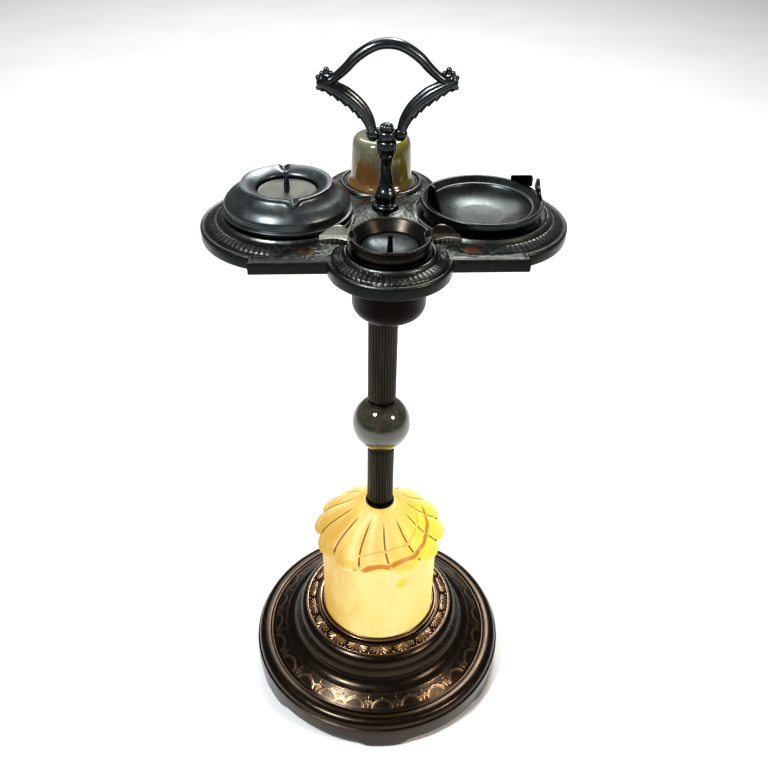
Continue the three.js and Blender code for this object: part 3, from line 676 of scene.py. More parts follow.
def petal_dome(angle):
    """The petals: radius and height along their rim, then radius, height and detail of every point."""
    dome = np.linspace(1, 0, 84)[:, None]
    bow = math.radians(5) * np.sin(math.pi * dome) * ease(dome, 0.0, 0.3)
    petal = np.abs(np.sin(PETALS / 2 * (angle - VALLEY_ANGLE + bow)))
    scallop = np.abs(np.sin(PETALS / 2 * (angle - VALLEY_ANGLE))) ** 0.62
    edge_r = VALLEY_R + (PETAL_R - VALLEY_R) * scallop
    edge_z = VALLEY_Z - (VALLEY_Z - TIP_Z) * scallop
    share = 1 - (1 - dome) ** 1.12
    dome_r = COLLAR_R + (edge_r - COLLAR_R) * share
    cone_z = SHADE_TOP - CONE_SLOPE * np.sqrt(np.maximum(dome_r - 17, 0) ** 2 + 16) + CONE_SLOPE * 4
    droop = ease(dome, 0.8, 1.0) ** 1.6 * (cone_z - edge_z - LIP_R)
    groove = 3.6 * (1 - petal ** 0.55) * ease(dome, 0.02, 0.5)
    dome_z = cone_z - np.maximum(droop, 0) - groove * (1 - ease(dome, 0.9, 1.0))
    # crease marks the lines between petals, which the glass paints dark as painted shade.
    crease = ridge(petal / (PETALS / 2) * dome_r, 0.95) * ease(dome, 0.08, 0.4)
    vein = agate_vein((np.degrees(angle) + 180) % 360 - 180, (dome_r - COLLAR_R) / (PETAL_R - COLLAR_R))
    return edge_r, edge_z, dome_r, np.minimum(dome_z, SHADE_TOP), crease * (1 - vein) - vein


def shade_piece():
    """Fluted drum and a cone of drooping petals, with a plain inside, as one shell of glass."""
    angle = around(PETALS * 60)[None]
    edge_r, edge_z, dome_r, dome_z, dome_detail = petal_dome(angle)
    rise = np.linspace(0, 1, 34)[:, None]
    flute = FLUTE_DEPTH * cusp(DRUM_FLUTES / 2 * (angle - VALLEY_ANGLE), 0.5)
    drum_r = np.repeat(DRUM_R - flute, len(rise), 0)
    drum_z = SHADE_LOW + (edge_z + RIM_RISE - SHADE_LOW) * rise
    under = np.linspace(0, 1, 9)[1:, None]
    under_r = DRUM_R + (edge_r - LIP_R - DRUM_R) * under
    under_z = edge_z + RIM_RISE - RIM_RISE * under ** 0.7
    lip = np.linspace(0, 1, 7)[1:-1, None]
    lip_r = edge_r - LIP_R * (1 - np.sin(lip * math.pi / 2))
    lip_z = edge_z + LIP_R * (1 - np.cos(lip * math.pi / 2))
    inside = outline((COLLAR_R, SHADE_TOP), (6.2, SHADE_TOP), (6.2, SHADE_TOP - GLASS_WALL),
        (30, 232, 48, 214), (DRUM_R - GLASS_WALL, 204, DRUM_R - GLASS_WALL, 196),
        (DRUM_R - GLASS_WALL, SHADE_LOW), spacing=6)[1:]
    flat = np.ones_like(angle)
    r = np.concatenate([drum_r, under_r, lip_r, dome_r, inside[:, :1] * flat])
    z = np.concatenate([drum_z, under_z, lip_z, dome_z, inside[:, 1:] * flat])
    r = np.minimum(r, PETAL_R)
    detail = np.zeros_like(r)
    first = len(drum_r) + len(under_r) + len(lip_r)
    detail[first:first + len(dome_r)] = dome_detail
    # The drum's flute grooves get detail so that the glass paints painted shade in them.
    detail[:len(drum_r)] = 0.45 * (flute / FLUTE_DEPTH) ** 4
    shell = grid_shell(spin(r, angle, z), detail=detail)
    show("petal_shade", shell, GLOW, "stand", "glass_shade", sharp=0)


# ---- column

FLUTES = 30
TUBE_BORE_R = 11.7
PIPE_BORE_R = 5.4


def reeded(name):
    """A tube with rounded reeds down its side."""
    low, high, outer = extent(name)
    profile = outline((TUBE_BORE_R, low), (outer - 0.9, low), (outer, low + 0.9), (outer, high - 0.9),
        (outer - 0.9, high), (TUBE_BORE_R, high), (TUBE_BORE_R, low), spacing=6)

    def flutes(angle, r, z):
        return -1.0 * cusp(angle * FLUTES / 2, 0.6) * (r > outer - 0.5)

    shell = turn(profile, FLUTES * 14, flutes)
    return show(name + "_fine", shell, COLUMN, "stand", name, sharp=60)


def ring_piece(name, node, material, rim, spacing=0.4):
    """A ring that fits round the pipe. rim(low, high, edge) gives the shape of its outside."""
    low, high, edge = extent(node)
    profile = outline((PIPE_BORE_R, low), *rim(low, high, edge), (PIPE_BORE_R, high), (PIPE_BORE_R, low),
        spacing=spacing)
    show(name, turn(profile, 120), material, "stand", node)


def column_pieces():
    for name in ("lower_reeded_tube", "upper_reeded_tube"):
        reeded(name)
    ring_piece("shade_collar", "column_collar", BLACKENED, lambda low, high, edge: (
        (edge - 0.6, low), (edge, low, edge, low + 0.9), (edge, high - 0.3, edge - 1.2, high)))
    for node in ("ball_seat_lower", "ball_seat_upper"):
        ring_piece(node + "_fine", node, COLUMN, lambda low, high, edge: (
            (edge - 0.5, low), (edge, low, edge, (low + high) / 2), (edge, high, edge - 0.5, high)))
    ring_piece("tray_cap", "column_cap", COLUMN, lambda low, high, edge: (
        (edge - 4.5, low), (edge, low + 1, edge, high - 1), (edge - 0.4, high)), spacing=0.6)
    ball_piece()


def ball_piece():
    """A glass ball, cut flat where it meets its seats and bored for the pipe."""
    ball_r = reach("glass_ball")
    half = (top("glass_ball") - bottom("glass_ball")) / 2
    rise = np.linspace(-math.asin(half / ball_r), math.asin(half / ball_r), 60)
    side = np.stack([ball_r * np.cos(rise), ball_r * np.sin(rise)], -1)
    ball = np.concatenate([[(6.0, -half)], side, [(6.0, half)]])
    shell = turn(ball, 128).at(z=middle("glass_ball").z)
    show("marbled_ball", shell, MARBLE, "stand", "glass_ball", sharp=50)


# ---- tray

TRAY_LOW = bottom("tray_casting")
TRAY_TOP = 581.0
RIM_Z = 570.0
PLATE_UNDER_Z = 565.6
HALF_X = 109.0
HALF_Y = 75.0
CENTRE_HOLE = 5.4
RIB_PITCH = 4.7
SIDE_R = reach("tray_casting") - RIGHT_X
END_R = 49.2
TRAY_STEPS = 1320
TRAY_ROWS = 190


class Lobe:
    """A round lobe of the tray: its well, the ring round it, the gadroon ribs and the slope to the edge."""

    def __init__(self, x, y, radius, well, seat, ring, ribs):
        self.x, self.y, self.radius = x, y, radius
        self.well, self.seat = well, seat
        self.ring_r, ring_top = ring
        self.rib_in, self.rib_out = ribs
        self.rib_count = round(TAU * self.rib_out / RIB_PITCH)
        self.profile = smooth_path([
            (well, ring_top - 2.0), (self.ring_r - 2.2, ring_top - 1.6), (self.ring_r, ring_top),
            (self.ring_r + 2.2, ring_top - 1.8), (self.rib_in, ring_top - 3.4), (self.rib_out, 570.9),
            (radius - 4.2, 570.2), (radius, 570.2)], 160)

    def polar(self, x, y):
        dx, dy = x - self.x, y - self.y
        outward = math.atan2(self.y, self.x)
        off = (np.arctan2(dy, dx) - outward + math.pi) % TAU - math.pi
        return np.hypot(dx, dy), off

    def height(self, rho):
        return np.where(rho < self.radius, np.interp(rho, self.profile[:, 0], self.profile[:, 1]), 0)


LOBES = [
    Lobe(LEFT_X, 0.0, SIDE_R, 49.0, 575.5, (53.0, 577.4), (58.8, 66.0)),
    Lobe(RIGHT_X, 0.0, SIDE_R, 48.5, 570.5, (55.2, 577.6), (59.4, 66.2)),
    Lobe(0.0, FRONT_Y, END_R, 32.0, 575.0, (34.6, 577.0), (37.0, 45.2)),
    Lobe(0.0, BACK_Y, END_R, 31.0, 574.0, (34.8, 577.0), (37.4, 45.2)),
]
THROUGH_HOLES = [(LEFT_X, 0.0, 46.5, 46.5), (0.0, FRONT_Y, 30.5, 30.5), (-65.0, -60.5, 7.0, 3.5),
    (65.0, -60.5, 7.0, 3.5)]
SKIRT = [(0, 566), (0, 561.2), (0.3, 560), (1.2, TRAY_LOW), (3, TRAY_LOW), (3.8, 560.4), (4, PLATE_UNDER_Z)]


def tray_reach(angle, inset=0.0):
    """Distance from the axis to the tray's outline, which every ray crosses once."""
    cos, sin = np.cos(angle), np.sin(angle)
    result = np.minimum((HALF_X - inset) / np.maximum(np.abs(cos), 1e-9),
        (HALF_Y - inset) / np.maximum(np.abs(sin), 1e-9))
    for lobe in LOBES:
        along = lobe.x * cos + lobe.y * sin
        room = (lobe.radius - inset) ** 2 - (lobe.x ** 2 + lobe.y ** 2 - along ** 2)
        exit_at = along + np.sqrt(np.maximum(room, 0))
        result = np.where(room > 0, np.maximum(result, exit_at), result)
    return result


def tray_angles():
    """Even steps, with the outline's own corners among them."""
    meet_side = math.sqrt(SIDE_R ** 2 - (HALF_X - RIGHT_X) ** 2)
    meet_end = math.sqrt(END_R ** 2 - (HALF_Y - BACK_Y) ** 2)
    corners = (math.atan2(meet_side, HALF_X), math.atan2(HALF_Y, HALF_X), math.atan2(HALF_Y, meet_end))
    quarter = np.array(corners)
    marks = np.concatenate([quarter, math.pi - quarter, math.pi + quarter, TAU - quarter])
    even = around(TRAY_STEPS)
    near = np.min(np.abs(even[:, None] - marks[None]), 1) < TAU / 4000
    return np.sort(np.concatenate([even[~near], marks]))


def tray_height(x, y):
    """The tray's top surface, and how much each point stands proud of its surroundings, which the nickel
    paints lighter as rubbed metal and painted highlight.
    """
    inside = np.minimum(HALF_X - np.abs(x), HALF_Y - np.abs(y))
    from_axis = np.hypot(x, y)
    height = np.interp(from_axis, [0, 12, 15, 24, 33, 52, 74], [TRAY_TOP, TRAY_TOP, 580.4, 578, 576, 573,
        RIM_Z + 0.2])
    ribs, rings, quiet = np.zeros_like(x), np.zeros_like(x), np.zeros_like(x)
    for lobe in LOBES:
        rho, off = lobe.polar(x, y)
        inside = np.maximum(inside, lobe.radius - rho)
        height = np.maximum(height, lobe.height(rho))
        facing = 1 - ease(np.abs(off), math.radians(74), math.radians(84))
        tongue = np.sqrt(np.abs(np.cos(off * lobe.rib_count / 2)))
        length = (lobe.rib_out - lobe.rib_in) / 2
        ends = np.sqrt(np.clip(1 - ((rho - lobe.rib_in - length) / length) ** 2, 0, 1))
        ribs = np.maximum(ribs, tongue * ends * facing)
        rings = np.maximum(rings, ridge(rho - lobe.ring_r, 1.7))
        quiet = np.maximum(quiet, (1 - ease(rho, lobe.ring_r + 2, lobe.ring_r + 4)))
        quiet = np.maximum(quiet, facing * (rho < lobe.radius))
    for lobe in LOBES:
        rho, _ = lobe.polar(x, y)
        height = np.where(rho < lobe.well, lobe.seat, height)
    field = (1 - quiet) * ease(inside, 5.0, 7.0) * ease(from_axis, 13, 16)
    leafy = 0.6 * (1 - np.abs(lattice_noise(x + 500, y + 500, 6.0, 3))) ** 5
    leafy = np.maximum(leafy, 0.5 * (1 - np.abs(lattice_noise(x + 900, y + 100, 3.4, 4))) ** 5) * field
    bead_line = ridge(inside - 1.9, 0.8)
    edge_groove = ridge(inside - 3.6, 0.8)
    height = height + 1.0 * ribs + 0.5 * leafy + 0.45 * bead_line - 0.45 * edge_groove
    height -= 1.4 * (1 - np.sqrt(np.clip(inside / 1.4, 0, 1)))
    # Raised parts are painted lighter, partly as rubbed metal and partly as painted highlight.
    proud = 0.34 + 0.5 * rings + 0.36 * ribs + 0.3 * leafy + 0.25 * bead_line - 0.18 * edge_groove
    return np.minimum(height, TRAY_TOP), np.clip(proud, 0.06, 1)


def cut_holes(x, y, quads):
    """Drops the faces over the holes, and moves points from just inside a hole onto its edge."""
    keep = np.ones(len(quads), bool)
    for cx, cy, wide, deep in THROUGH_HOLES:
        rho = np.hypot((x - cx) / wide, (y - cy) / deep)
        hidden = rho < 1
        corners = hidden[quads]
        keep &= ~corners.all(1)
        mixed = np.unique(quads[corners.any(1) & ~corners.all(1)])
        snap = mixed[hidden[mixed]]
        x[snap] = cx + (x[snap] - cx) / rho[snap]
        y[snap] = cy + (y[snap] - cy) / rho[snap]
    return quads[keep]


def open_edges(quads):
    """The edges that belong to one face only."""
    edges = np.concatenate([quads[:, [k, (k + 1) % 4]] for k in range(4)])
    _, inverse, count = np.unique(np.sort(edges, 1), axis=0, return_inverse=True, return_counts=True)
    return edges[count[inverse.ravel()] == 1]


def tray_piece():
    """A fine top surface with its holes, walls down from every edge, and a flat underside."""
    angles = tray_angles()
    columns = len(angles)
    share = np.linspace(0, 1, TRAY_ROWS)[:, None]
    distance = CENTRE_HOLE + (tray_reach(angles)[None] - CENTRE_HOLE) * share
    x, y = (distance * np.cos(angles)).ravel(), (distance * np.sin(angles)).ravel()
    index = np.arange(TRAY_ROWS * columns).reshape(TRAY_ROWS, columns)
    quads = cut_holes(x, y, faces_between(index[:-1], index[1:]))
    z, proud = tray_height(x, y)
    top_surface = np.stack([x, y, z], -1)

    edges = open_edges(quads)
    hole_edges = edges[~(edges >= (TRAY_ROWS - 1) * columns).all(1)]
    hole_ids = np.unique(hole_edges)
    below = np.full(len(top_surface), -1)
    below[hole_ids] = len(top_surface) + np.arange(len(hole_ids))
    under = top_surface[hole_ids].copy()
    under[:, 2] = PLATE_UNDER_Z
    start, end = hole_edges.T
    walls = [np.stack([end, start, below[start], below[end]], -1)]

    points = [top_surface, under]
    total = len(top_surface) + len(under)
    ring_before = index[-1]
    for inset, height in SKIRT:
        ids = total + np.arange(columns)
        walls.append(faces_between(ring_before, ids))
        points.append(spin(tray_reach(angles, inset), angles, height))
        total += columns
        ring_before = ids
    points = np.concatenate(points)
    quads = np.concatenate([quads, *walls])
    # The skirt gets 0.08, the darkest tone of the nickel, as painted shade.
    detail = np.full(len(points), 0.08)
    detail[:len(proud)] = proud
    # Copper-brown on the hole edges, and below them on the hole walls.
    detail[hole_ids] = 0.0
    detail[len(proud):len(proud) + len(under)] = -0.1
    used = np.unique(quads)
    renumber = np.full(len(points), -1)
    renumber[used] = np.arange(len(used))
    shell = Shell(points[used], renumber[quads], detail=detail[used])
    close_underside(show("lobed_tray", shell, NICKEL, "stand", "tray_casting", sharp=50).data)


def over_hole(place):
    """Whether a point lies over one of the tray's holes, the centre one included."""
    holes = [*THROUGH_HOLES, (0.0, 0.0, CENTRE_HOLE, CENTRE_HOLE)]
    return any(math.hypot((place.x - x) / wide, (place.y - y) / deep) < 0.999 for x, y, wide, deep in holes)


def close_underside(mesh):
    """Fills the flat plate below the tray, between the skirt and the holes."""
    work = bmesh.new()
    work.from_mesh(mesh)
    rim = [e for e in work.edges if e.is_boundary]
    filled = bmesh.ops.triangle_fill(work, use_beauty=True, edges=rim)["geom"]
    across_holes = [face for face in filled if isinstance(face,
        bmesh.types.BMFace) and over_hole(face.calc_center_median() / MM)]
    bmesh.ops.delete(work, geom=across_holes, context="FACES")
    bmesh.ops.recalc_face_normals(work, faces=work.faces)
    for face in work.faces:
        face.smooth = True
    work.to_mesh(mesh)
    work.free()
    mesh.set_sharp_from_angle(angle=math.radians(50))


# ---- handle


def stem_piece():
    """A turned baluster with twisted leaves on its waist and upright leaves below the handle."""
    stem = outline((0.0, 581.3), (10.6, 581.3), (11.2, 581.3, 11.2, 582.6), (11.2, 584.2, 9.6, 584.6),
        (8.2, 585.2), (7.6, 585.6, 8.0, 586.6), (10.4, 591, 7.2, 596), (6.4, 597), (6.9, 597.8), (6.3, 598.8),
        (5.4, 606, 4.9, 614), (4.7, 619, 5.4, 622.4), (6.4, 623), (6.7, 624, 6.0, 625),
        (8.9, 628.5, 8.2, 633), (7.7, 636, 6.2, 636), (0.0, 636), spacing=0.7)

    def leaf_cuts(angle, r, z):
        lower = ease(z, 599, 602) * (1 - ease(z, 616, 620))
        upper = ease(z, 626, 628) * (1 - ease(z, 633, 635))
        return -0.8 * cusp(angle * 3 + z * 0.16, 0.7) * lower - 0.6 * cusp(angle * 5, 0.7) * upper

    show("turned_stem", turn(stem, 160, leaf_cuts, closed=False), CHROME, "stand", "handle_stem")


def loop_piece():
    """The arch, two scroll arms that carry it, and small lumps where they meet at the corner tips."""
    arch = smooth_path([(-47.5, 681.6), (-43.5, 681.2), (-38.2, 684.2), (-31, 690.2), (-24.3, 696.9),
        (-16, 702.7), (-8, 706.2), (0, 707.2), (8, 706.2), (16, 702.7), (24.3, 696.9), (31, 690.2),
        (38.2, 684.2), (43.5, 681.2), (47.5, 681.6)], 150)
    spread = np.abs(arch[:, 0])
    arch[:, 1] -= 1.1
    shells = [sweep(arch, 3.9 - 0.6 * ease(spread, 20, 44), 5.2 - 1.1 * ease(spread, 24, 46), 28)]
    for side in (-1, 1):
        arm = smooth_path([(side * 50.5, 679.2), (side * 44, 676.6), (side * 36, 672.6), (side * 28, 667.4),
            (side * 20.5, 660.6), (side * 15.0, 652.8), (side * 12.2, 646.0), (side * 11.2, 640.6)], 160)
        travel = np.linspace(0, 1, 160)
        width = np.interp(travel, [0, 0.12, 0.35, 0.6, 0.85, 1], [4.0, 5.0, 6.2, 5.6, 4.2, 3.6])
        steps = 1.2 * ((travel * 9) % 1) * (travel < 0.66)
        shells.append(sweep(arm, width, 4.1, 28, lambda cos, sin, s=steps,
            u=side: 1 + 0.22 * s[:, None] * np.clip(u * cos, 0, 1)))
        shells.append(sweep(arm[:132] + np.array([0, 0.4]), width[:132] * 0.6, 4.8, 20))
        shells.append(blob((5.3, 4.8, 5.3), (side * 10.9, 0, 640.4), relief=lambda angle,
            lift: 0.04 * np.cos(6 * angle)))
        shells.append(blob((4.6, 4.3, 6.2), (side * 48.8, 0, 678.4), 20))
        shells.append(blob((2.9, 3.2, 2.4), (side * 51.0, 0, 682.2), 20))
        for dx, dz, size in ((-3.3, 684.8, 2.6), (0, 687.2, 3.0), (3.3, 684.8, 2.6)):
            shells.append(blob((size * 0.8, 2.3, size), (side * (45.6 + dx), 0, dz), 16, 10))
        shells.append(blob((2.0, 2.8, 1.6), (side * 52.0, 0, 675.0), 16, 10))
    hub = outline((0, 636.4), (6.8, 636.4), (7.8, 637, 7.8, 639.5), (7.6, 643, 5.8, 643.4), (0, 643.4),
        spacing=0.6)
    shells.append(turn(hub, 96, closed=False))
    show("arched_handle", shells, CHROME, "stand", "handle_loop", sharp=60)


def finial_piece():
    finial = outline((0, 643.9), (5.2, 643.9), (5.8, 644.4), (5.4, 645.4), (6.2, 647.2, 3.6, 648.6),
        (1.8, 649.4, 0, 649.5), spacing=0.4)
    ribs = lambda angle, r, z: -0.4 * cusp(angle * 4, 0.6) * ease(z, 645, 646) * (r > 1.5)
    show("handle_bud", turn(finial, 96, ribs, closed=False), CHROME, "stand", "handle_finial")


# ---- ash units, bowl and bell


LIP_DEGREES = (-80, 96)
COVER_TOP = 603.5


def lips(angle, width):
    """1 at each pinched lip of the cover, falling off over the given degrees."""
    offs = [(angle - math.radians(degrees) + math.pi) % TAU - math.pi for degrees in LIP_DEGREES]
    return sum(ridge(off, math.radians(width)) for off in offs)


def left_unit():
    """A rounded steel cover, pinched into a lip at the front and the back, over a shallow pan."""
    profile = outline((46, 580.3), (51.6, 580.3), (53, 580.5, 53, 581.6), (53, 582.2, 52, 582.3),
        (50.4, 582.8), (50.3, 586.2), (51.3, 586.9), (51.5, 588.6, 50.6, 589.6), (47.6, 593.2, 44.4, 595),
        (39.6, 597.6, 37.2, 600.4), (36.3, 601.6, 36.7, 602.6), (36.8, COVER_TOP, 35.4, COVER_TOP),
        (31.5, 603, 27, 600), (25.4, 599, 24.9, 598), (24.9, 597), (25.8, 597.2), (30, 600.4, 34, 600.8),
        (38, 597, 43, 593.6), (48.6, 590, 49.2, 586), (49, 582), (46, 582), (46, 580.3), spacing=0.8)

    shell = turn(profile, 300)
    x, y, z = shell.points.T
    angle, r = np.arctan2(y, x), np.hypot(x, y)
    rim = ease(z, 597.5, 601.5) * ease(r, 26, 33)
    new_r = r + 3.6 * lips(angle, 8) * rim * (r > 26)
    dip = 2.6 * lips(angle, 4.2) * ease(z, 597, 601) * ease(r, 25, 34)
    wave = 0.5 * np.cos(2 * (angle - math.radians(8))) * rim
    shell.points = spin(new_r, angle, np.minimum(z - dip + wave, COVER_TOP))
    show("domed_cover", shell.at(x=LEFT_X), SATIN, "left_ash_unit", "left_cover", sharp=50)

    low, high = bottom("left_drop_plate"), top("left_drop_plate")
    plate = outline((2.3, low), (23.6, low), (24.1, low, 24.1, low + 0.8), (24.1, high, 23.4, high),
        (22.2, high - 0.3), (12, high - 0.5), (4, high - 0.4), (2.3, high - 0.2), (2.3, low), spacing=0.8)
    show("left_plate_fine", turn(plate, 160).at(x=LEFT_X), PLATE, "left_plunger", "left_drop_plate")
    pan_piece("left_pan", SATIN, "left_ash_unit", LEFT_X, 0.0, side=45.6, corner=6.0, guide=570.0)
    post_piece("left_plunger_post", "left_plunger", LEFT_X, 0.0, BRIGHT)


def pan_piece(node, material, body, x, y, side, corner, guide):
    """A spun pan: rounded floor, rolled flange, and a guide tube that the plunger slides in."""
    low, high, flange = extent(node)
    wall = 1.2
    profile = outline((2.4, low), (side - corner, low), (side, low, side, low + corner),
        (side, high - wall - 0.6), (side + 0.2, high - wall, side + 1, high - wall),
        (flange - 0.5, high - wall), (flange, high - wall, flange, high - 0.5),
        (flange - 0.3, high, flange - 0.9, high), (side - wall, high), (side - wall, low + corner),
        (side - wall, low + wall, side - wall - corner, low + wall), (4.2, low + wall), (4.2, guide),
        (2.4, guide), (2.4, low), spacing=1.6)
    show(node + "_fine", turn(profile, 144).at(x=x, y=y), material, body, node, sharp=50)


def post_piece(node, body, x, y, finish):
    """The plunger's rod, with a tapered post and a small round tip above the plate."""
    low, high = bottom(node), top(node)
    profile = outline((0, low), (1.6, low), (2, low + 0.4), (2, high - 16), (2.6, high - 15),
        (2.46, high - 13), (1.86, high - 4.4), (1.5, high - 3.6), (2.58, high - 2.2, 1.5, high - 0.6),
        (0, high), spacing=0.7)
    show(node + "_fine", turn(profile, 40, closed=False).at(x=x, y=y), finish, body, node)


def rest_shell(side):
    """A cigarette rest: a half-round channel, ribbed outside, whose back wall rises like a leaf."""
    along = np.linspace(0, 1, 46)[:, None]
    swell = np.sin(math.pi * np.clip(along * 0.92 + 0.08, 0, 1)) ** 0.9
    back = math.radians(98) * (0.5 + 0.5 * swell)
    front = math.radians(88) * (0.8 + 0.2 * swell)
    turn_by = np.linspace(-1, 1, 64)[None]
    angle = np.where(turn_by < 0, turn_by * front, turn_by * back)
    outer_r = 8.5 - 1.5 * along
    ribs = 0.5 * (np.abs(np.sin(along * 21 / 3.4 * math.pi)) - 0.5)
    rows = []
    for radius, place in ((outer_r + ribs, angle), (outer_r - 1.5, angle[:, ::-1])):
        y = radius * np.sin(place)
        z = 590.4 - radius * np.cos(place)
        crown = ease(place, math.radians(55), math.radians(100))
        x = 32.8 + 21 * along - 5.5 * crown * (1 - along)
        z = z + 2.4 * crown * swell
        rows.append(np.stack([side * x, y, np.minimum(z, top("front_rest_left") + 2.0)], -1))
    points = np.concatenate(rows, 1)
    # 1 on the ribbed outside and 0 on the inside, for the painted shade and painted highlight of the left
    # rest's material.
    detail = np.concatenate([np.ones_like(angle), np.zeros_like(angle)], 1)
    return grid_shell(points, wrap_rows=False, detail=detail)


def front_unit():
    """A deep cup below the tray, a funnel rim with two notches, a bright dish and two rests."""
    pan_piece("front_cup", BLACKENED, "front_ash_unit", 0.0, FRONT_Y, side=29.8, corner=13.0,
        guide=556.0)
    profile = outline((28.8, 579.3), (30.2, 579.3), (30.5, 580, 30.4, 583), (29.8, 585.6),
        (31.8, 587, 31.6, 588.4), (31.4, 589.5, 30.2, 589.4), (28.6, 588.9), (22.6, 581.4), (22.3, 580.2),
        (22.6, 580.0), (28.4, 586.2), (28.8, 579.3), spacing=0.5)
    shell = turn(profile, 240)
    x, y, z = shell.points.T
    channel = ease(7.0 - np.abs(y), 0, 1.2) * ease(np.hypot(x, y), 26, 28)
    shell.points[:, 2] = np.where(channel > 0, z - np.clip(z - 585.2, 0, 9) * channel * 0.9, z)
    show("funnel_rim", shell.at(y=FRONT_Y), FUNNEL, "front_ash_unit", "front_rim", sharp=50)

    low, high = bottom("front_drop_dish"), top("front_drop_dish")
    dish = outline((2.3, low), (13, low + 0.2, 21.4, high - 1.4), (21.9, high - 0.8, 21.6, high),
        (14, low + 1.6, 2.3, low + 1.5), (2.3, low), spacing=0.6)
    show("bright_dish", turn(dish, 160).at(y=FRONT_Y), BRIGHT, "front_plunger", "front_drop_dish")
    post_piece("front_plunger_post", "front_plunger", 0.0, FRONT_Y, BLACKENED)
    for side, node, finish in ((-1, "front_rest_left", CREAM), (1, "front_rest_right", SMOKED)):
        show(node + "_fine", rest_shell(side).at(y=FRONT_Y), finish, "front_ash_unit", node,
            sharp=60)


def right_unit():
    profile = outline((0, 571), (20, 571, 36, 575), (46.4, 579.6), (49.6, 581), (50.8, 582, 50.8, 584),
        (50.8, 586.8), (50.7, 588.1, 49.2, 588.1), (47.8, 587.6), (43.4, 584.4), (42.4, 583.6, 41.8, 583.9),
        (40.9, 583.8, 40.2, 582.4), (33, 576, 20, 573.6), (8, 573, 0, 573), spacing=0.7)
    show("polished_bowl", turn(profile, 240, closed=False).at(x=RIGHT_X), POLISHED, "right_ash_bowl",
         "right_bowl", sharp=50)


def bell_piece():
    """A tall glass bell with a closed top. The two points near the axis keep its roof clean."""
    low, high, edge = extent("glass_bell")
    profile = outline((23.6, low), (edge - 0.8, low), (edge, low, edge, low + 1.2),
        (edge, 576.6, 28.4, 578.6), (26.9, 580.6, 26.7, 584), (26.5, 597, 25.7, 607),
        (25.1, 615.2, 19.6, 615.8), (10, high, 0, high), spacing=0.9)
    inner = outline((0, high - 4), (17.6, high - 4.4), (21.6, high - 5, 22, 604), (23.4, 584), (23.6, low),
        spacing=1.6)
    whole = np.concatenate([profile[:-1], [[0.02, high]], [[0.02, high - 4]], inner[1:]])
    show("onyx_bell", turn(whole, 160).at(y=BACK_Y), ONYX, "bell", "glass_bell", sharp=60)


def kept_nodes():
    """Gives the CAD nodes that keep their own shape a material."""
    steel = plain("zinc_steel", (0.34, 0.34, 0.33), (0.52, 0.52, 0.5), 0.32, 1.0)
    iron = plain("rough_iron", (0.035, 0.035, 0.036), (0.085, 0.082, 0.078), 0.7, 0.6, 40.0)
    brass = plain("old_brass", (0.34, 0.24, 0.1), (0.55, 0.42, 0.2), 0.32, 1.0)
    rubber = plain("black_rubber", (0.012, 0.012, 0.012), (0.03, 0.03, 0.03), 0.7)
    porcelain = plain("porcelain", (0.62, 0.59, 0.52), (0.78, 0.75, 0.68), 0.2)
    steel_nodes = ["pipe_foot_nut", "pipe_foot_washer", "ballast_bolt_1", "ballast_bolt_2", "ballast_bolt_3",
        "socket_bracket", "threaded_pipe", "left_spring", "front_spring"]
    finishes = [
        (steel, steel_nodes), (iron, ["base_ballast"]), (brass, ["pipe_floor_nut", "bulb_screw_cap"]),
        (rubber, ["cord_bushing", "shade_pad"]), (porcelain, ["lamp_socket"]), (lit_bulb(), ["lamp_bulb"]),
        (BLACKENED, ["right_leaf_clip", "right_plate_clip", "right_serrated_clip"]),
    ]
    for material, nodes in finishes:
        for node in nodes:
            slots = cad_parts[node].data.materials
            slots.clear()
            slots.append(material)


# ---- camera, light and floor


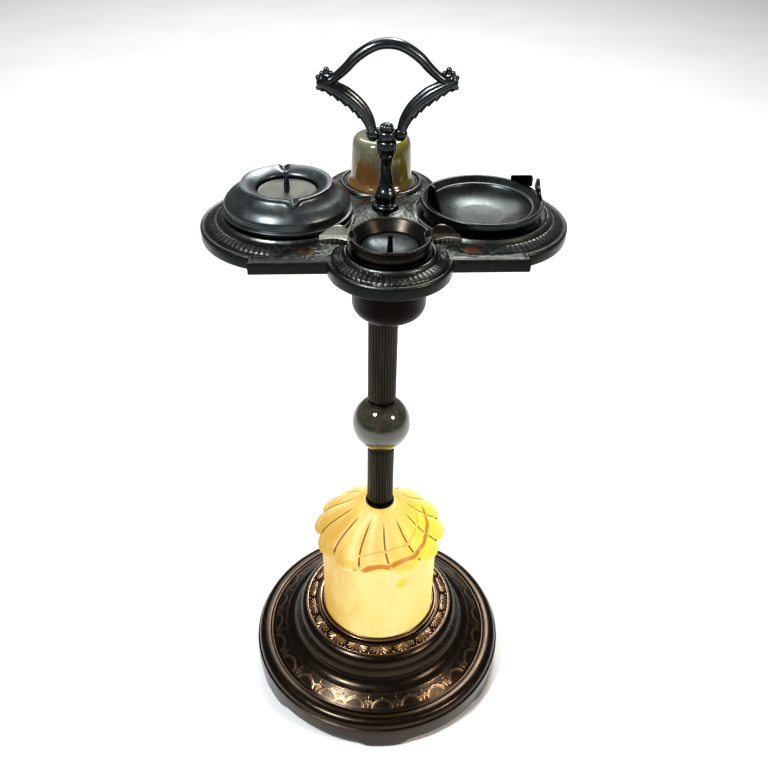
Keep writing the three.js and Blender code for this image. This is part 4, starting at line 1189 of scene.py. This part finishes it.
def camera():
    """The viewpoint: to the front, above the tray and looking down, with a slight roll."""
    place = Vector((-0.0398, -0.6385, 0.8647))
    heading, down, roll = math.radians(3.995), math.radians(39.526), math.radians(1.346)
    forward = Vector((math.sin(heading) * math.cos(down), math.cos(heading) * math.cos(down),
        -math.sin(down)))
    right = forward.cross(Vector((0, 0, 1))).normalized()
    up = right.cross(forward)
    rolled_right = right * math.cos(roll) + up * math.sin(roll)
    rolled_up = up * math.cos(roll) - right * math.sin(roll)
    data = bpy.data.cameras.new("view")
    data.sensor_width = 36
    data.lens = 38.36
    data.shift_x = -0.0023
    data.shift_y = 0.067
    data.clip_start = 0.01
    eye = add_object("view", data)
    turned = Matrix((rolled_right, rolled_up, -forward)).transposed().to_4x4()
    eye.matrix_world = Matrix.Translation(place) @ turned
    bpy.context.scene.camera = eye


def area_light(name, place, target, size, power, colour=(1, 1, 1)):
    data = bpy.data.lights.new(name, "AREA")
    data.shape = "DISK"
    data.size = size
    data.energy = power
    data.color = colour
    lamp = add_object(name, data)
    lamp.location = place
    lamp.rotation_euler = (Vector(target) - Vector(place)).to_track_quat("-Z", "Y").to_euler()


def surroundings():
    bpy.context.scene.view_settings.view_transform = "Standard"
    world = bpy.data.worlds.new("studio")
    bpy.context.scene.world = world
    world.use_nodes = True
    background = world.node_tree.nodes["Background"]
    background.inputs[0].default_value = (0.92, 0.96, 1.0, 1)
    background.inputs[1].default_value = 0.2
    area_light("key", (-0.9, -0.7, 2.1), (0, 0, 0.4), 0.35, 50, (0.93, 0.97, 1.0))
    area_light("fill", (1.5, -0.9, 1.7), (0, 0, 0.3), 0.4, 22, (1.0, 0.86, 0.72))
    area_light("back", (0.5, 1.4, 2.2), (0, 0, 0.4), 0.7, 34)
    area_light("overhead", (0.0, 2.9, 3.0), (0, 2.0, 0), 2.4, 80)
    half = 6.0
    mesh = bpy.data.meshes.new("floor")
    mesh.from_pydata([(-half, -half, 0), (half, -half, 0), (half, half, 0), (-half, half, 0)], [],
        [(0, 1, 2, 3)])
    floor = add_object("floor", mesh)
    mesh.materials.append(plain("pale_floor", (0.88, 0.88, 0.87), (0.92, 0.92, 0.91), 0.6, scale=3.0))


camera()
base_piece()
gallery_piece()
shade_piece()
column_pieces()
tray_piece()
stem_piece()
loop_piece()
finial_piece()
left_unit()
front_unit()
right_unit()
bell_piece()
kept_nodes()
surroundings()
